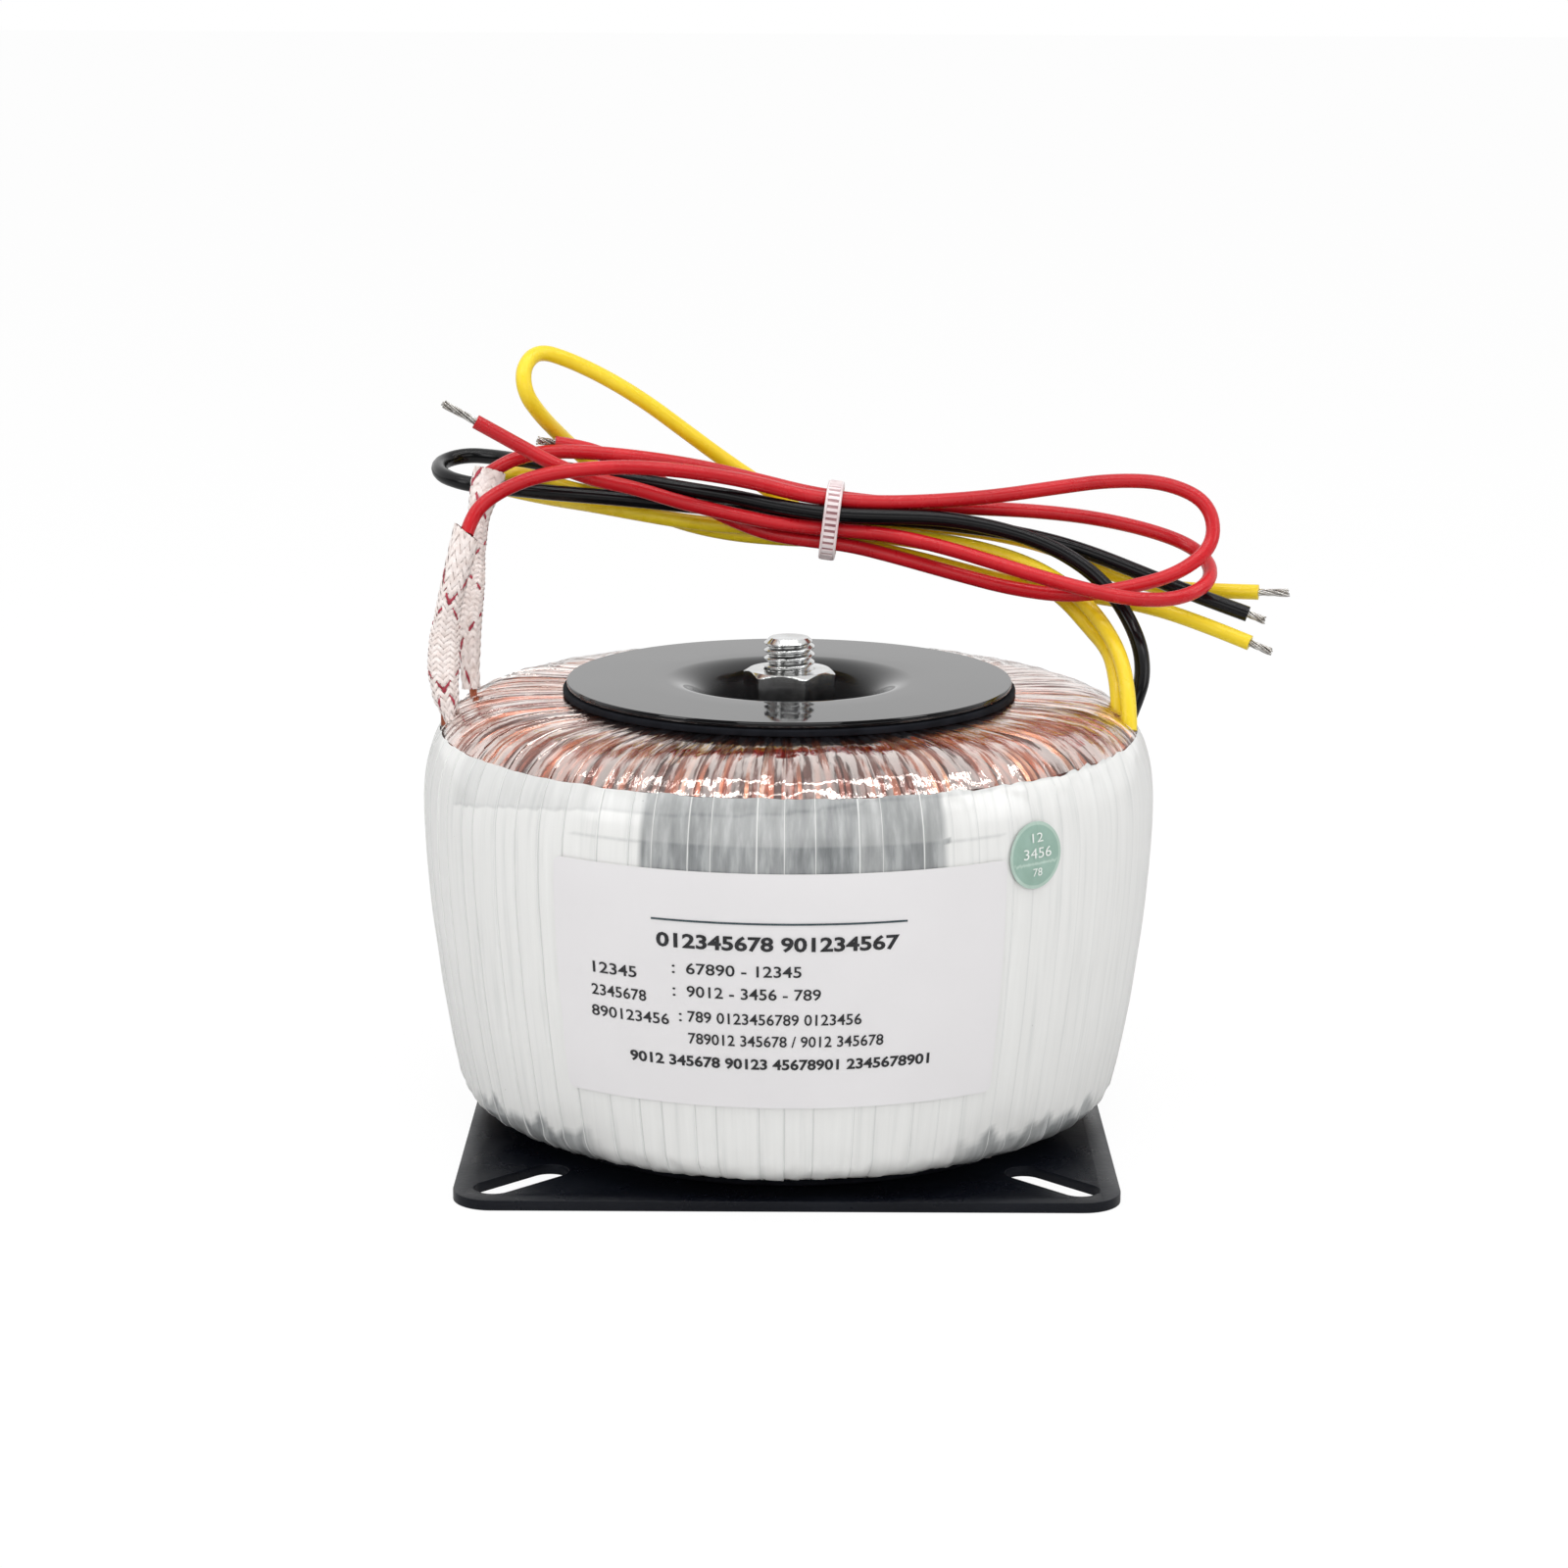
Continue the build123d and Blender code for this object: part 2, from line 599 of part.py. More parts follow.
nodes = {
    "base_plate": base_plate(),
    "base_pad": washer(flat_radius, base_pad_hole, base_pad_thickness, plate_sheet),
    "core": core,
    "core_insulation": core_insulation,
    "primary_winding": primary_winding,
    "winding_insulation": winding_insulation,
    "secondary_winding": secondary_winding,
    "outer_film": outer_film,
    "side_wrap": side_wrap,
    "label": label(),
    "inspection_sticker": inspection_sticker(),
    "top_pad": washer(dish_radius + pad_overhang, top_pad_hole, top_pad_thickness, body_top),
    "dished_washer": dished_washer(),
    "flat_washer": washer(flat_washer_radius, hole_clear_radius, flat_washer_thickness, flat_washer_level),
    "spring_washer": spring_washer(spring_washer_level),
    "hex_nut": hex_nut(nut_level),
    "clamp_bolt": clamp_bolt(),
    "front_sleeve": sleeve(front_sleeve_route),
    "rear_sleeve": sleeve(rear_sleeve_route),
    "front_winding_tail": winding_tail(front_tail_foot, front_sleeve_route, front_red_route),
    "rear_winding_tail": winding_tail(rear_tail_foot, rear_sleeve_route, rear_red_route),
    "cable_tie": cable_tie(),
}
for name, (route, diameter, strip) in leads.items():
    nodes[name + "_lead"] = tube(route, diameter)
    nodes[name + "_bare_end"] = bare_end(route, strip)

os.makedirs("parts", exist_ok=True)
for name, shape in nodes.items():
    export_step(shape, f"parts/{name}.step")
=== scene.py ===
import math
import random

import bmesh
import bpy
from mathutils import Matrix, Vector, noise


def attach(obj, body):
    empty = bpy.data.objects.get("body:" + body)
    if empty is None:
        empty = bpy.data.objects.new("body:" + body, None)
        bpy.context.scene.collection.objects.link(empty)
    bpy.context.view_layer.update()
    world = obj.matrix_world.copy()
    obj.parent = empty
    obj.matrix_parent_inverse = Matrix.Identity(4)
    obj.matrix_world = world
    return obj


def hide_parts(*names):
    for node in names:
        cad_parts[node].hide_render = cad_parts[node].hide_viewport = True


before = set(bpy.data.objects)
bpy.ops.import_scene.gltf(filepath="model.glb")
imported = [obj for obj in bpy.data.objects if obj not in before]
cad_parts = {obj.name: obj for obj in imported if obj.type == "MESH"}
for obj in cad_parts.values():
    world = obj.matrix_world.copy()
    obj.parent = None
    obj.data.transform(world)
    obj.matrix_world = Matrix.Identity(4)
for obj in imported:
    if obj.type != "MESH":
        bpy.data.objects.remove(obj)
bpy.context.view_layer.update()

MM = 0.001

# Camera, from the plate's corners, the dished washer's ellipses and the body's outline
CAMERA_DISTANCE = 558.45
CAMERA_HEIGHT = 178.29
CAMERA_PITCH = 77.443
CAMERA_ROLL = 0.264
CAMERA_LENS = 82.85
CAMERA_SHIFT = -0.003

# Wound body over its clear film, in millimetres
BODY_BOTTOM = 3.5
BODY_TOP = 68.9
HOLE_RADIUS = 20.0
HOLE_LIP = 5.0
CROWN_RADIUS = 38.0
CROWN_PULL = 12.0
BELLY_RADIUS = 57.5
BELLY_LEVEL = 52.0
SHOULDER_PULL = 15.5
BELLY_PULL = 16.0
FOOT_RADIUS = 52.2
FOOT_LEVEL = 8.0
FOOT_LEAN = 0.28
FOOT_PULL = 6.0
FLAT_RADIUS = 43.0
FLAT_PULL = 5.5
FILM_LAPS = 72
LAP_STEP = 0.3
BAND_TOP = 63.9
BAND_FOOT = 4.4

# Copper turns
TURNS = 236
WIRE_RADIUS = 0.62
WIRE_DEPTH = 0.5
SECTION_RADIUS = 38.5

# Clamp
DISH_RADIUS = 35.0
DISH_RIM_TOP = 71.0
DISH_SHEET = 1.1
DISH_FLOOR = 62.4
DISH_FUNNEL = 15.2
DISH_FLOOR_RADIUS = 9.9
DISH_ROLL = 7.9
DISH_FLOOR_ROLL = 2.0
WELL_MOUTH = 15.6
WELL_RADIUS = 12.4
BOLT_RADIUS = 4.0
BOLT_END = 77.6
THREAD_START = 58.0
THREAD_PITCH = 1.25
THREAD_DEPTH = 0.68
HEAD_LOW = 2.3
HEAD_SEAT = 7.6
NUT_LOW = 66.0
NUT_HIGH = 72.5
NUT_TURN = 19.5
ACROSS_FLATS = 13.0

# Label and sticker
LABEL_WIDTH = 70.0
LABEL_LOW = 17.5
LABEL_HEIGHT = 36.0
LABEL_TURN = -1.5
LABEL_LIFT = 0.27
LABEL_CORNER = 0.32
LABEL_THICKNESS = 0.12
STICKER_RADIUS = 5.0
STICKER_LEVEL = 53.4
STICKER_TURN = 38.9

# Leads
RED_DIAMETER = 2.3
LEAD_DIAMETER = 2.5
# Each with its diameter, its length in metres, its bare end and its route
LEADS = {
    "front_red": (RED_DIAMETER, 0.243, 3.0, [
        (-50.35, -1.55, 93.9), (-49.7, -0.5, 96.0), (-48.0, 0.5, 98.4), (-44.6, 1.2, 100.6),
        (-39.8, 1.8, 102.5), (-33.4, 2.8, 103.5), (-25.1, 5.2, 103.7), (-15.9, 8.8, 102.5),
        (-5.9, 12.0, 100.4), (2.9, 14.2, 97.7), (12.6, 14.5, 96.8), (22.3, 14.0, 97.1),
        (32.4, 13.6, 98.0), (42.2, 13.4, 99.5), (51.2, 13.2, 100.8), (59.9, 12.8, 100.6),
        (66.8, 11.6, 97.5), (67.5, 8.4, 91.2), (61.5, 5.8, 86.9), (53.4, 5.4, 84.7),
        (44.9, 6.4, 83.1), (35.5, 9.4, 83.8), (26.3, 12.2, 85.8), (16.9, 14.6, 88.1),
        (9.5, 15.7, 89.8), (2.7, 15.8, 90.5), (-3.6, 16.4, 91.4), (-9.9, 17.6, 93.7),
        (-16.7, 17.5, 97.2), (-23.2, 17.3, 101.0), (-29.2, 17.2, 103.8), (-33.4, 16.6, 105.3),
        (-37.6, 15.9, 106.0),
    ]),
    "rear_red": (RED_DIAMETER, 0.250, 6.0, [
        (-47.9, 11.0, 101.6), (-45.7, 11.6, 103.1), (-42.3, 12.4, 104.4), (-37.4, 13.0, 105.1),
        (-30.6, 13.8, 104.7), (-22.5, 15.0, 103.7), (-13.8, 16.0, 102.2), (-5.0, 16.8, 100.0),
        (3.5, 17.4, 97.8), (13.0, 17.6, 96.5), (22.4, 17.6, 95.8), (31.9, 17.6, 95.5),
        (40.7, 18.0, 95.0), (49.6, 18.4, 93.9), (58.2, 18.4, 92.0), (64.6, 16.0, 89.9),
        (67.3, 10.6, 87.5), (66.1, 5.4, 85.1), (60.9, 2.2, 83.4), (54.1, 1.9, 83.4),
        (46.7, 3.0, 84.8), (39.1, 5.0, 86.6), (31.5, 7.8, 88.6), (23.8, 10.6, 90.5),
        (15.3, 13.2, 92.0), (7.0, 14.3, 92.5), (-1.2, 13.3, 93.4), (-9.3, 12.1, 95.2),
        (-17.1, 11.2, 97.1), (-24.5, 10.0, 99.6), (-31.4, 8.0, 101.3), (-37.3, 6.6, 103.8),
        (-42.8, 6.2, 106.9), (-49.3, 5.6, 110.6),
    ]),
    "black": (LEAD_DIAMETER, 0.282, 3.0, [
        (53.6, 0.5, 64.6), (55.0, 1.2, 67.9), (56.0, 2.8, 71.0), (55.8, 5.2, 75.0),
        (54.3, 8.4, 78.8), (51.7, 10.6, 82.9), (47.4, 12.0, 86.9), (41.4, 12.6, 90.4),
        (33.5, 12.8, 93.0), (24.6, 12.8, 94.6), (15.7, 12.9, 94.8), (7.4, 12.9, 95.0),
        (-1.2, 12.9, 96.2), (-9.0, 12.9, 97.9), (-16.8, 13.0, 99.1), (-24.6, 13.4, 100.4),
        (-31.3, 15.6, 101.2), (-37.2, 19.4, 101.4), (-42.9, 24.0, 101.9), (-48.0, 28.2, 102.1),
        (-53.3, 30.0, 102.2), (-57.3, 27.0, 101.3), (-56.4, 19.0, 100.4), (-52.3, 14.8, 99.6),
        (-47.5, 13.6, 99.2), (-43.0, 12.4, 99.0), (-37.7, 12.0, 98.5), (-31.5, 12.2, 98.0),
        (-24.7, 13.2, 97.3), (-17.5, 14.4, 96.4), (-9.8, 15.3, 95.5), (-1.5, 16.0, 94.9),
        (6.7, 16.1, 94.6), (15.3, 16.1, 94.1), (24.8, 16.3, 93.3), (33.4, 16.4, 92.2),
        (41.4, 16.8, 90.6), (48.7, 16.8, 88.4), (56.3, 15.2, 85.6), (64.4, 12.2, 82.7),
        (73.2, 10.0, 79.8),
    ]),
    "front_yellow": (LEAD_DIAMETER, 0.263, 5.0, [
        (53.1, -7.0, 64.2), (53.1, -6.0, 66.8), (52.9, -3.8, 70.4), (52.3, -0.2, 74.1),
        (50.6, 4.6, 77.6), (47.6, 9.4, 81.2), (43.7, 12.0, 84.4), (37.8, 13.8, 87.4),
        (30.3, 15.8, 89.4), (22.5, 17.2, 90.6), (14.6, 17.4, 91.3), (7.0, 17.5, 92.2),
        (-1.2, 18.8, 92.1), (-9.1, 19.8, 92.1), (-17.0, 19.6, 92.9), (-25.3, 19.8, 94.3),
        (-32.3, 21.6, 95.3), (-38.3, 25.6, 95.6), (-44.2, 28.0, 96.4), (-48.5, 25.4, 97.9),
        (-48.6, 19.4, 100.0), (-44.8, 15.0, 101.2), (-40.5, 14.4, 100.7), (-36.3, 15.2, 99.0),
        (-32.0, 17.0, 97.8), (-25.7, 19.6, 97.2), (-17.8, 20.4, 97.3), (-9.5, 20.2, 96.2),
        (-1.2, 19.6, 95.2), (6.7, 19.2, 94.2), (15.4, 19.4, 93.4), (24.9, 19.3, 92.4),
        (33.9, 19.4, 91.1), (41.6, 19.7, 89.2), (48.4, 20.2, 86.4), (53.8, 19.6, 84.0),
        (60.3, 17.8, 82.7), (67.7, 15.8, 82.6), (75.3, 14.0, 82.7),
    ]),
    "rear_yellow": (LEAD_DIAMETER, 0.264, 4.0, [
        (51.9, -2.0, 64.9), (51.9, -1.0, 67.3), (51.7, 1.4, 70.6), (50.9, 5.4, 74.6),
        (48.0, 11.2, 77.4), (44.3, 14.8, 81.3), (38.6, 16.1, 85.3), (31.4, 18.5, 87.7),
        (23.4, 19.9, 89.4), (15.5, 20.5, 90.5), (8.6, 20.8, 91.3), (3.4, 21.6, 93.0),
        (-2.8, 22.9, 97.2), (-10.0, 22.2, 102.1), (-16.7, 21.0, 107.2), (-23.0, 19.6, 112.1),
        (-29.2, 18.8, 116.0), (-35.1, 18.4, 118.9), (-40.1, 16.8, 120.7), (-42.4, 13.2, 118.4),
        (-42.0, 11.2, 114.5), (-39.7, 14.0, 110.6), (-37.0, 20.0, 106.7), (-33.7, 24.0, 102.8),
        (-29.6, 25.4, 98.7), (-24.8, 24.8, 95.0), (-18.4, 23.4, 92.3), (-10.4, 22.4, 90.6),
        (-2.0, 21.3, 90.0), (6.4, 18.9, 90.1), (15.4, 18.5, 88.4), (25.0, 18.4, 86.1),
        (35.3, 18.9, 83.3), (45.8, 18.4, 81.7), (55.7, 15.2, 80.7), (64.5, 11.4, 78.7),
        (73.4, 8.0, 75.5),
    ]),
}

# Sleeves: route, and width along it from foot to mouth
FRONT_SLEEVE = [
    (-52.6, -5.6, 63.4), (-53.8, -4.7, 68.6), (-54.1, -4.1, 74.4), (-53.6, -3.4, 80.0),
    (-52.4, -2.6, 86.4), (-50.3, -1.5, 94.2),
]
REAR_SLEEVE = [
    (-50.3, 2.4, 68.6), (-50.9, 3.2, 77.0), (-50.1, 4.6, 84.0), (-49.7, 6.4, 90.0),
    (-49.3, 8.8, 96.0), (-47.6, 11.1, 102.2),
]
SLEEVE_DEPTH = 3.2
YARN_PAIRS = 14
YARN_WIDTH = 0.62
TRACER_WIDTH = 0.4
BRAID_STRETCH = 1.5

# Cable tie
TIE_CENTRE = (6.7, 17.15, 93.6)
TIE_DIRECTION = (0.992, -0.047, -0.119)
TIE_INSIDE_WIDTH = 11.5
TIE_INSIDE_HEIGHT = 10.3
TIE_CORNER = 2.8
TIE_STRAP = 0.85
TIE_WIDTH = 2.6
TIE_RIDGE_STEP = 1.0
GAP_ROW = 5


def linear(red, green, blue):
    """Colour of the finish, given as it looks on a screen from 0 to 255."""
    return tuple(((value / 255 + 0.055) / 1.055) ** 2.4 for value in (red, green, blue)) + (1.0,)


# Camera

def make_camera():
    lens = bpy.data.cameras.new("camera")
    lens.sensor_width = 36
    lens.lens = CAMERA_LENS
    lens.shift_x = CAMERA_SHIFT
    camera = bpy.data.objects.new("camera", lens)
    bpy.context.scene.collection.objects.link(camera)
    turn = Matrix.Rotation(math.radians(CAMERA_PITCH), 4, "X")
    roll = Matrix.Rotation(math.radians(CAMERA_ROLL), 4, "Z")
    place = Matrix.Translation((0, -CAMERA_DISTANCE * MM, CAMERA_HEIGHT * MM))
    camera.matrix_world = place @ turn @ roll
    bpy.context.scene.camera = camera


# Materials

def finish(name, colour, roughness, **sockets):
    """Principled material; the other sockets are named as on the shader, with underscores."""
    material = bpy.data.materials.new(name)
    material.use_nodes = True
    shader = material.node_tree.nodes["Principled BSDF"]
    shader.inputs["Base Color"].default_value = colour
    shader.inputs["Roughness"].default_value = roughness
    for socket, value in sockets.items():
        shader.inputs[socket.replace("_", " ")].default_value = value
    return material


def tree_of(owner):
    """Node tree of a material or a world, or the tree itself."""
    return getattr(owner, "node_tree", owner)


def add_node(owner, kind, settings=(), values=()):
    """New node with its settings, and its inputs set by name or by number."""
    node = tree_of(owner).nodes.new(kind)
    for name, value in dict(settings).items():
        setattr(node, name, value)
    for name, value in dict(values).items():
        node.inputs[name].default_value = value
    return node


def join(owner, *pairs):
    """Links given as (from node, its output, to node, its input)."""
    for source, output, target, socket in pairs:
        tree_of(owner).links.new(source.outputs[output], target.inputs[socket])


def shader_of(material):
    return material.node_tree.nodes["Principled BSDF"]


def place_on(material, stretch=(1, 1, 1), space="Object"):
    """Mapping node that scales the piece's own coordinates."""
    where = add_node(material, "ShaderNodeTexCoord")
    mapping = add_node(material, "ShaderNodeMapping", values={"Scale": stretch})
    join(material, (where, space, mapping, "Vector"))
    return mapping


def grain(material, scale, stretch=(1, 1, 1), detail=4.0, rough=0.55, space="Object"):
    """Noise in the piece's own coordinates."""
    mapping = place_on(material, stretch, space)
    texture = add_node(
        material, "ShaderNodeTexNoise", values={"Scale": scale, "Detail": detail, "Roughness": rough}
    )
    join(material, (mapping, "Vector", texture, "Vector"))
    return texture


def ramp(material, source, output, stops):
    """Colour ramp with stops of (position, colour)."""
    node = add_node(material, "ShaderNodeValToRGB")
    elements = node.color_ramp.elements
    while len(elements) < len(stops):
        elements.new(0.5)
    for element, (position, colour) in zip(elements, stops):
        element.position = position
        element.color = colour
    join(material, (source, output, node, "Fac"))
    return node


def grey(value):
    return (value, value, value, 1)


def bump(material, height, output, strength, distance):
    """Bump on top of whatever bump the shader already has."""
    node = add_node(material, "ShaderNodeBump", values={"Strength": strength, "Distance": distance})
    shader = shader_of(material)
    if shader.inputs["Normal"].links:
        before = shader.inputs["Normal"].links[0].from_node
        join(material, (before, "Normal", node, "Normal"))
    join(material, (height, output, node, "Height"), (node, "Normal", shader, "Normal"))
    if shader.inputs["Coat Weight"].default_value > 0:
        join(material, (node, "Normal", shader, "Coat Normal"))


def vary_colour(material, texture, dark, light, low=0.3, high=0.7):
    shades = ramp(material, texture, "Fac", [(low, dark), (high, light)])
    join(material, (shades, "Color", shader_of(material), "Base Color"))
    return shades


def vary_roughness(material, texture, smooth, rough, low=0.3, high=0.7):
    shades = ramp(material, texture, "Fac", [(low, grey(smooth)), (high, grey(rough))])
    join(material, (shades, "Color", shader_of(material), "Roughness"))


def grained(name, colour, roughness, dark, light, cloud, relief=None, **sockets):
    """Finish whose colour varies with a cloud of (scale, detail), over a relief of grain if it has one."""
    material = finish(name, colour, roughness, **sockets)
    scale, detail = cloud
    vary_colour(material, grain(material, scale, detail=detail), dark, light)
    if relief:
        scale, detail, strength, distance = relief
        bump(material, grain(material, scale, detail=detail), "Fac", strength, distance)
    return material


def plate_paint():
    material = finish("plate_paint", linear(16, 18, 25), 0.3, Specular_IOR_Level=0.2)
    cloud = grain(material, 38, detail=5)
    vary_colour(material, cloud, linear(12, 14, 21), linear(22, 25, 32), 0.35, 0.7)
    vary_roughness(material, grain(material, 160, detail=6), 0.24, 0.38)
    bump(material, grain(material, 1400, detail=2), "Fac", 0.12, 0.0002)
    return material


def dish_enamel():
    material = finish("dish_enamel", linear(14, 14, 16), 0.06)
    well = add_node(material, "ShaderNodeAttribute", {"attribute_name": "well"})
    rough = ramp(material, well, "Fac", [(0.0, grey(0.05)), (0.5, grey(0.2)), (1.0, grey(0.55))])
    shine = ramp(material, well, "Fac", [(0.0, grey(0.42)), (0.5, grey(0.22)), (1.0, grey(0.05))])
    join(material, (rough, "Color", shader_of(material), "Roughness"))
    join(material, (shine, "Color", shader_of(material), "Specular IOR Level"))
    vary_colour(material, grain(material, 2600, detail=1), linear(14, 14, 16), linear(30, 30, 33), 0.62, 0.8)
    bump(material, grain(material, 45, detail=1), "Fac", 0.04, 0.001)
    return material


def zinc_plate():
    material = finish("zinc_plate", linear(206, 207, 208), 0.16, Metallic=1.0)
    vary_roughness(material, grain(material, 420, detail=6), 0.1, 0.26)
    vary_colour(material, grain(material, 230), linear(190, 190, 188), linear(222, 223, 224))
    bump(material, grain(material, 1500, detail=3), "Fac", 0.03, 0.0001)
    return material


def copper_enamel():
    """Each turn has its own tone, stored on the mesh when the turns are laid."""
    material = finish("copper_enamel", linear(186, 116, 92), 0.27, Metallic=0.85, Coat_Weight=0.6,
                      Coat_Roughness=0.12)
    tone = add_node(material, "ShaderNodeAttribute", {"attribute_name": "turn_tone"})
    shades = ramp(material, tone, "Fac", [
        (0.0, linear(92, 40, 30)), (0.35, linear(162, 82, 56)),
        (0.75, linear(206, 126, 90)), (1.0, linear(232, 178, 146)),
    ])
    stain = grain(material, 60, detail=3)
    blend = add_node(
        material, "ShaderNodeMix", {"data_type": "RGBA", "blend_type": "MULTIPLY"}, {"Factor": 0.5}
    )
    stains = ramp(material, stain, "Fac", [(0.3, linear(190, 150, 140)), (0.65, linear(255, 250, 246))])
    join(
        material, (shades, "Color", blend, "A"), (stains, "Color", blend, "B"),
        (blend, "Result", shader_of(material), "Base Color"),
    )
    return material


def clear_film():
    """Crinkled polyester: glossy, clearer face on than at a glance, whiter along its folds and lap edges."""
    material = finish("clear_film", linear(247, 236, 231), 0.06, Metallic=1.0)
    fold = add_node(material, "ShaderNodeAttribute", {"attribute_name": "fold"})
    veil = ramp(material, fold, "Fac", [(0.0, grey(0.0)), (0.4, grey(0.16)), (1.0, grey(0.8))])
    lean = add_node(material, "ShaderNodeLayerWeight", values={"Blend": 0.5})
    clear = ramp(material, lean, "Facing", [
        (0.0, grey(0.1)), (0.45, grey(0.13)), (0.75, grey(0.2)), (1.0, grey(0.8)),
    ])
    milky = ramp(material, lean, "Facing", [
        (0.0, grey(0.3)), (0.45, grey(0.62)), (0.75, grey(0.88)), (1.0, grey(0.98)),
    ])
    pulled = grain(material, 7, stretch=(27, 0.55, 1), detail=5, space="UV")
    streak = ramp(material, pulled, "Fac", [(0.46, grey(0)), (0.54, grey(1))])
    gloss = add_node(material, "ShaderNodeMix", {"data_type": "RGBA"})
    join(
        material,
        (streak, "Color", gloss, "Factor"), (clear, "Color", gloss, "A"), (milky, "Color", gloss, "B"),
    )
    cover = add_node(material, "ShaderNodeMath", {"operation": "MAXIMUM"})
    join(
        material, (gloss, "Result", cover, 0), (veil, "Color", cover, 1),
        (cover, "Value", shader_of(material), "Alpha"),
    )
    crumple = grain(material, 7, stretch=(34, 1.2, 1), detail=4, space="UV")
    bump(material, crumple, "Fac", 0.2, 0.0009)
    return material


def white_band_tape():
    """White polyester under the clear laps, with its streaks, silver patches and scuffs."""
    material = finish("white_band_tape", linear(228, 228, 226), 0.3, Coat_Weight=0.5, Coat_Roughness=0.12)
    streaks = grain(material, 6, stretch=(40, 0.4, 1), detail=6, space="UV")
    tone = ramp(material, streaks, "Fac", [
        (0.28, linear(220, 221, 219)), (0.46, linear(231, 231, 229)), (0.7, linear(236, 236, 234)),
    ])
    silver = add_node(material, "ShaderNodeAttribute", {"attribute_name": "silver"})
    cloud = grain(material, 6, stretch=(44, 1.1, 1), detail=5, space="UV")
    metal = ramp(material, cloud, "Fac", [
        (0.32, linear(84, 89, 92)), (0.5, linear(118, 122, 124)), (0.66, linear(158, 161, 162)),
    ])
    patched = add_node(material, "ShaderNodeMix", {"data_type": "RGBA"})
    join(
        material,
        (silver, "Fac", patched, "Factor"), (tone, "Color", patched, "A"), (metal, "Color", patched, "B"),
    )
    # Painted highlight along each lap edge, and a painted shadow line where the lap starts under its
    # neighbour
    edge = add_node(material, "ShaderNodeAttribute", {"attribute_name": "lap_edge"})
    lap_lit_and_shaded = add_node(material, "ShaderNodeMix", {"data_type": "RGBA"})
    line = ramp(material, edge, "Fac", [
        (0.0, linear(186, 189, 188)), (0.5, linear(186, 189, 188)), (0.51, linear(240, 240, 238)),
        (1.0, linear(240, 240, 238)),
    ])
    amount = ramp(material, edge, "Fac", [
        (0.0, grey(0)), (0.5, grey(0.6)), (0.51, grey(0.3)), (1.0, grey(0.9)),
    ])
    join(
        material, (patched, "Result", lap_lit_and_shaded, "A"), (line, "Color", lap_lit_and_shaded, "B"),
        (amount, "Color", lap_lit_and_shaded, "Factor"),
    )
    speck = grain(material, 60, stretch=(9, 1.6, 1), detail=1, space="UV")
    specks = ramp(material, speck, "Fac", [(0.0, linear(70, 70, 72)), (0.16, linear(70, 70, 72)),
                                            (0.19, linear(255, 255, 255))])
    marked = add_node(
        material, "ShaderNodeMix", {"data_type": "RGBA", "blend_type": "MULTIPLY"}, {"Factor": 0.6}
    )
    join(
        material, (lap_lit_and_shaded, "Result", marked, "A"), (specks, "Color", marked, "B"),
        (marked, "Result", shader_of(material), "Base Color"),
    )
    crinkle = grain(material, 7, stretch=(34, 1.4, 1), detail=5, space="UV")
    bump(material, crinkle, "Fac", 0.1, 0.0006)
    return material


def sticker_paper():
    """Green field inside a paler border, with a line across it."""
    material = finish("sticker_paper", linear(150, 184, 168), 0.4, Coat_Weight=0.4, Coat_Roughness=0.15)
    field = add_node(material, "ShaderNodeAttribute", {"attribute_name": "field"})
    tone = ramp(material, field, "Fac", [
        (0.0, linear(184, 206, 195)), (0.45, linear(184, 206, 195)), (0.55, linear(164, 192, 179)),
        (1.0, linear(154, 184, 171)),
    ])
    mottle = grain(material, 320, detail=4)
    mottles = ramp(material, mottle, "Fac", [(0.3, linear(228, 234, 230)), (0.7, linear(255, 255, 255))])
    blend = add_node(
        material, "ShaderNodeMix", {"data_type": "RGBA", "blend_type": "MULTIPLY"}, {"Factor": 0.8}
    )
    join(
        material, (tone, "Color", blend, "A"), (mottles, "Color", blend, "B"),
        (blend, "Result", shader_of(material), "Base Color"),
    )
    bump(material, grain(material, 500, detail=3), "Fac", 0.1, 0.0002)
    return material


def lead_vinyl(name, dark, light, gloss=0.27, shine=0.4):
    """Soft PVC with faint die lines and finger marks."""
    material = finish(name, light, gloss, Specular_IOR_Level=shine)
    vary_colour(material, grain(material, 60, detail=3), dark, light, 0.32, 0.66)
    vary_roughness(material, grain(material, 240, detail=4), gloss - 0.04, gloss + 0.06)
    bump(material, grain(material, 300, detail=2), "Fac", 0.02, 0.0003)
    return material


def braid_yarn(name, dark, light):
    material = finish(name, light, 0.62, Sheen_Weight=0.3, Sheen_Roughness=0.4)
    vary_colour(material, grain(material, 900, detail=3), dark, light, 0.35, 0.62)
    bump(material, grain(material, 2600, stretch=(1, 1, 0.4), detail=3), "Fac", 0.5, 0.0002)
    return material


def core_strip():
    """Edge of the wound steel strip: fine rings."""
    material = finish("core_strip", linear(120, 122, 126), 0.4, Metallic=1.0)
    vary_colour(material, grain(material, 90), linear(100, 102, 106), linear(150, 152, 155))
    rings = add_node(
        material, "ShaderNodeTexWave",
        {"wave_type": "RINGS", "rings_direction": "Z"}, {"Scale": 900.0, "Distortion": 0.4},
    )
    join(material, (place_on(material), "Vector", rings, "Vector"))
    bump(material, rings, "Fac", 0.4, 0.0002)
    return material


# Making and placing pieces

def mesh_object(name, vertices, faces, materials, smooth_angle=40):
    mesh = bpy.data.meshes.new(name)
    mesh.from_pydata([(x * MM, y * MM, z * MM) for x, y, z in vertices], [], faces)
    for material in materials:
        mesh.materials.append(material)
    return object_from(name, mesh, smooth_angle)


def object_from(name, mesh, smooth_angle=40):
    for polygon in mesh.polygons:
        polygon.use_smooth = True
    mesh.set_sharp_from_angle(angle=math.radians(smooth_angle))
    mesh.validate()
    made = bpy.data.objects.new(name, mesh)
    bpy.context.scene.collection.objects.link(made)
    return made


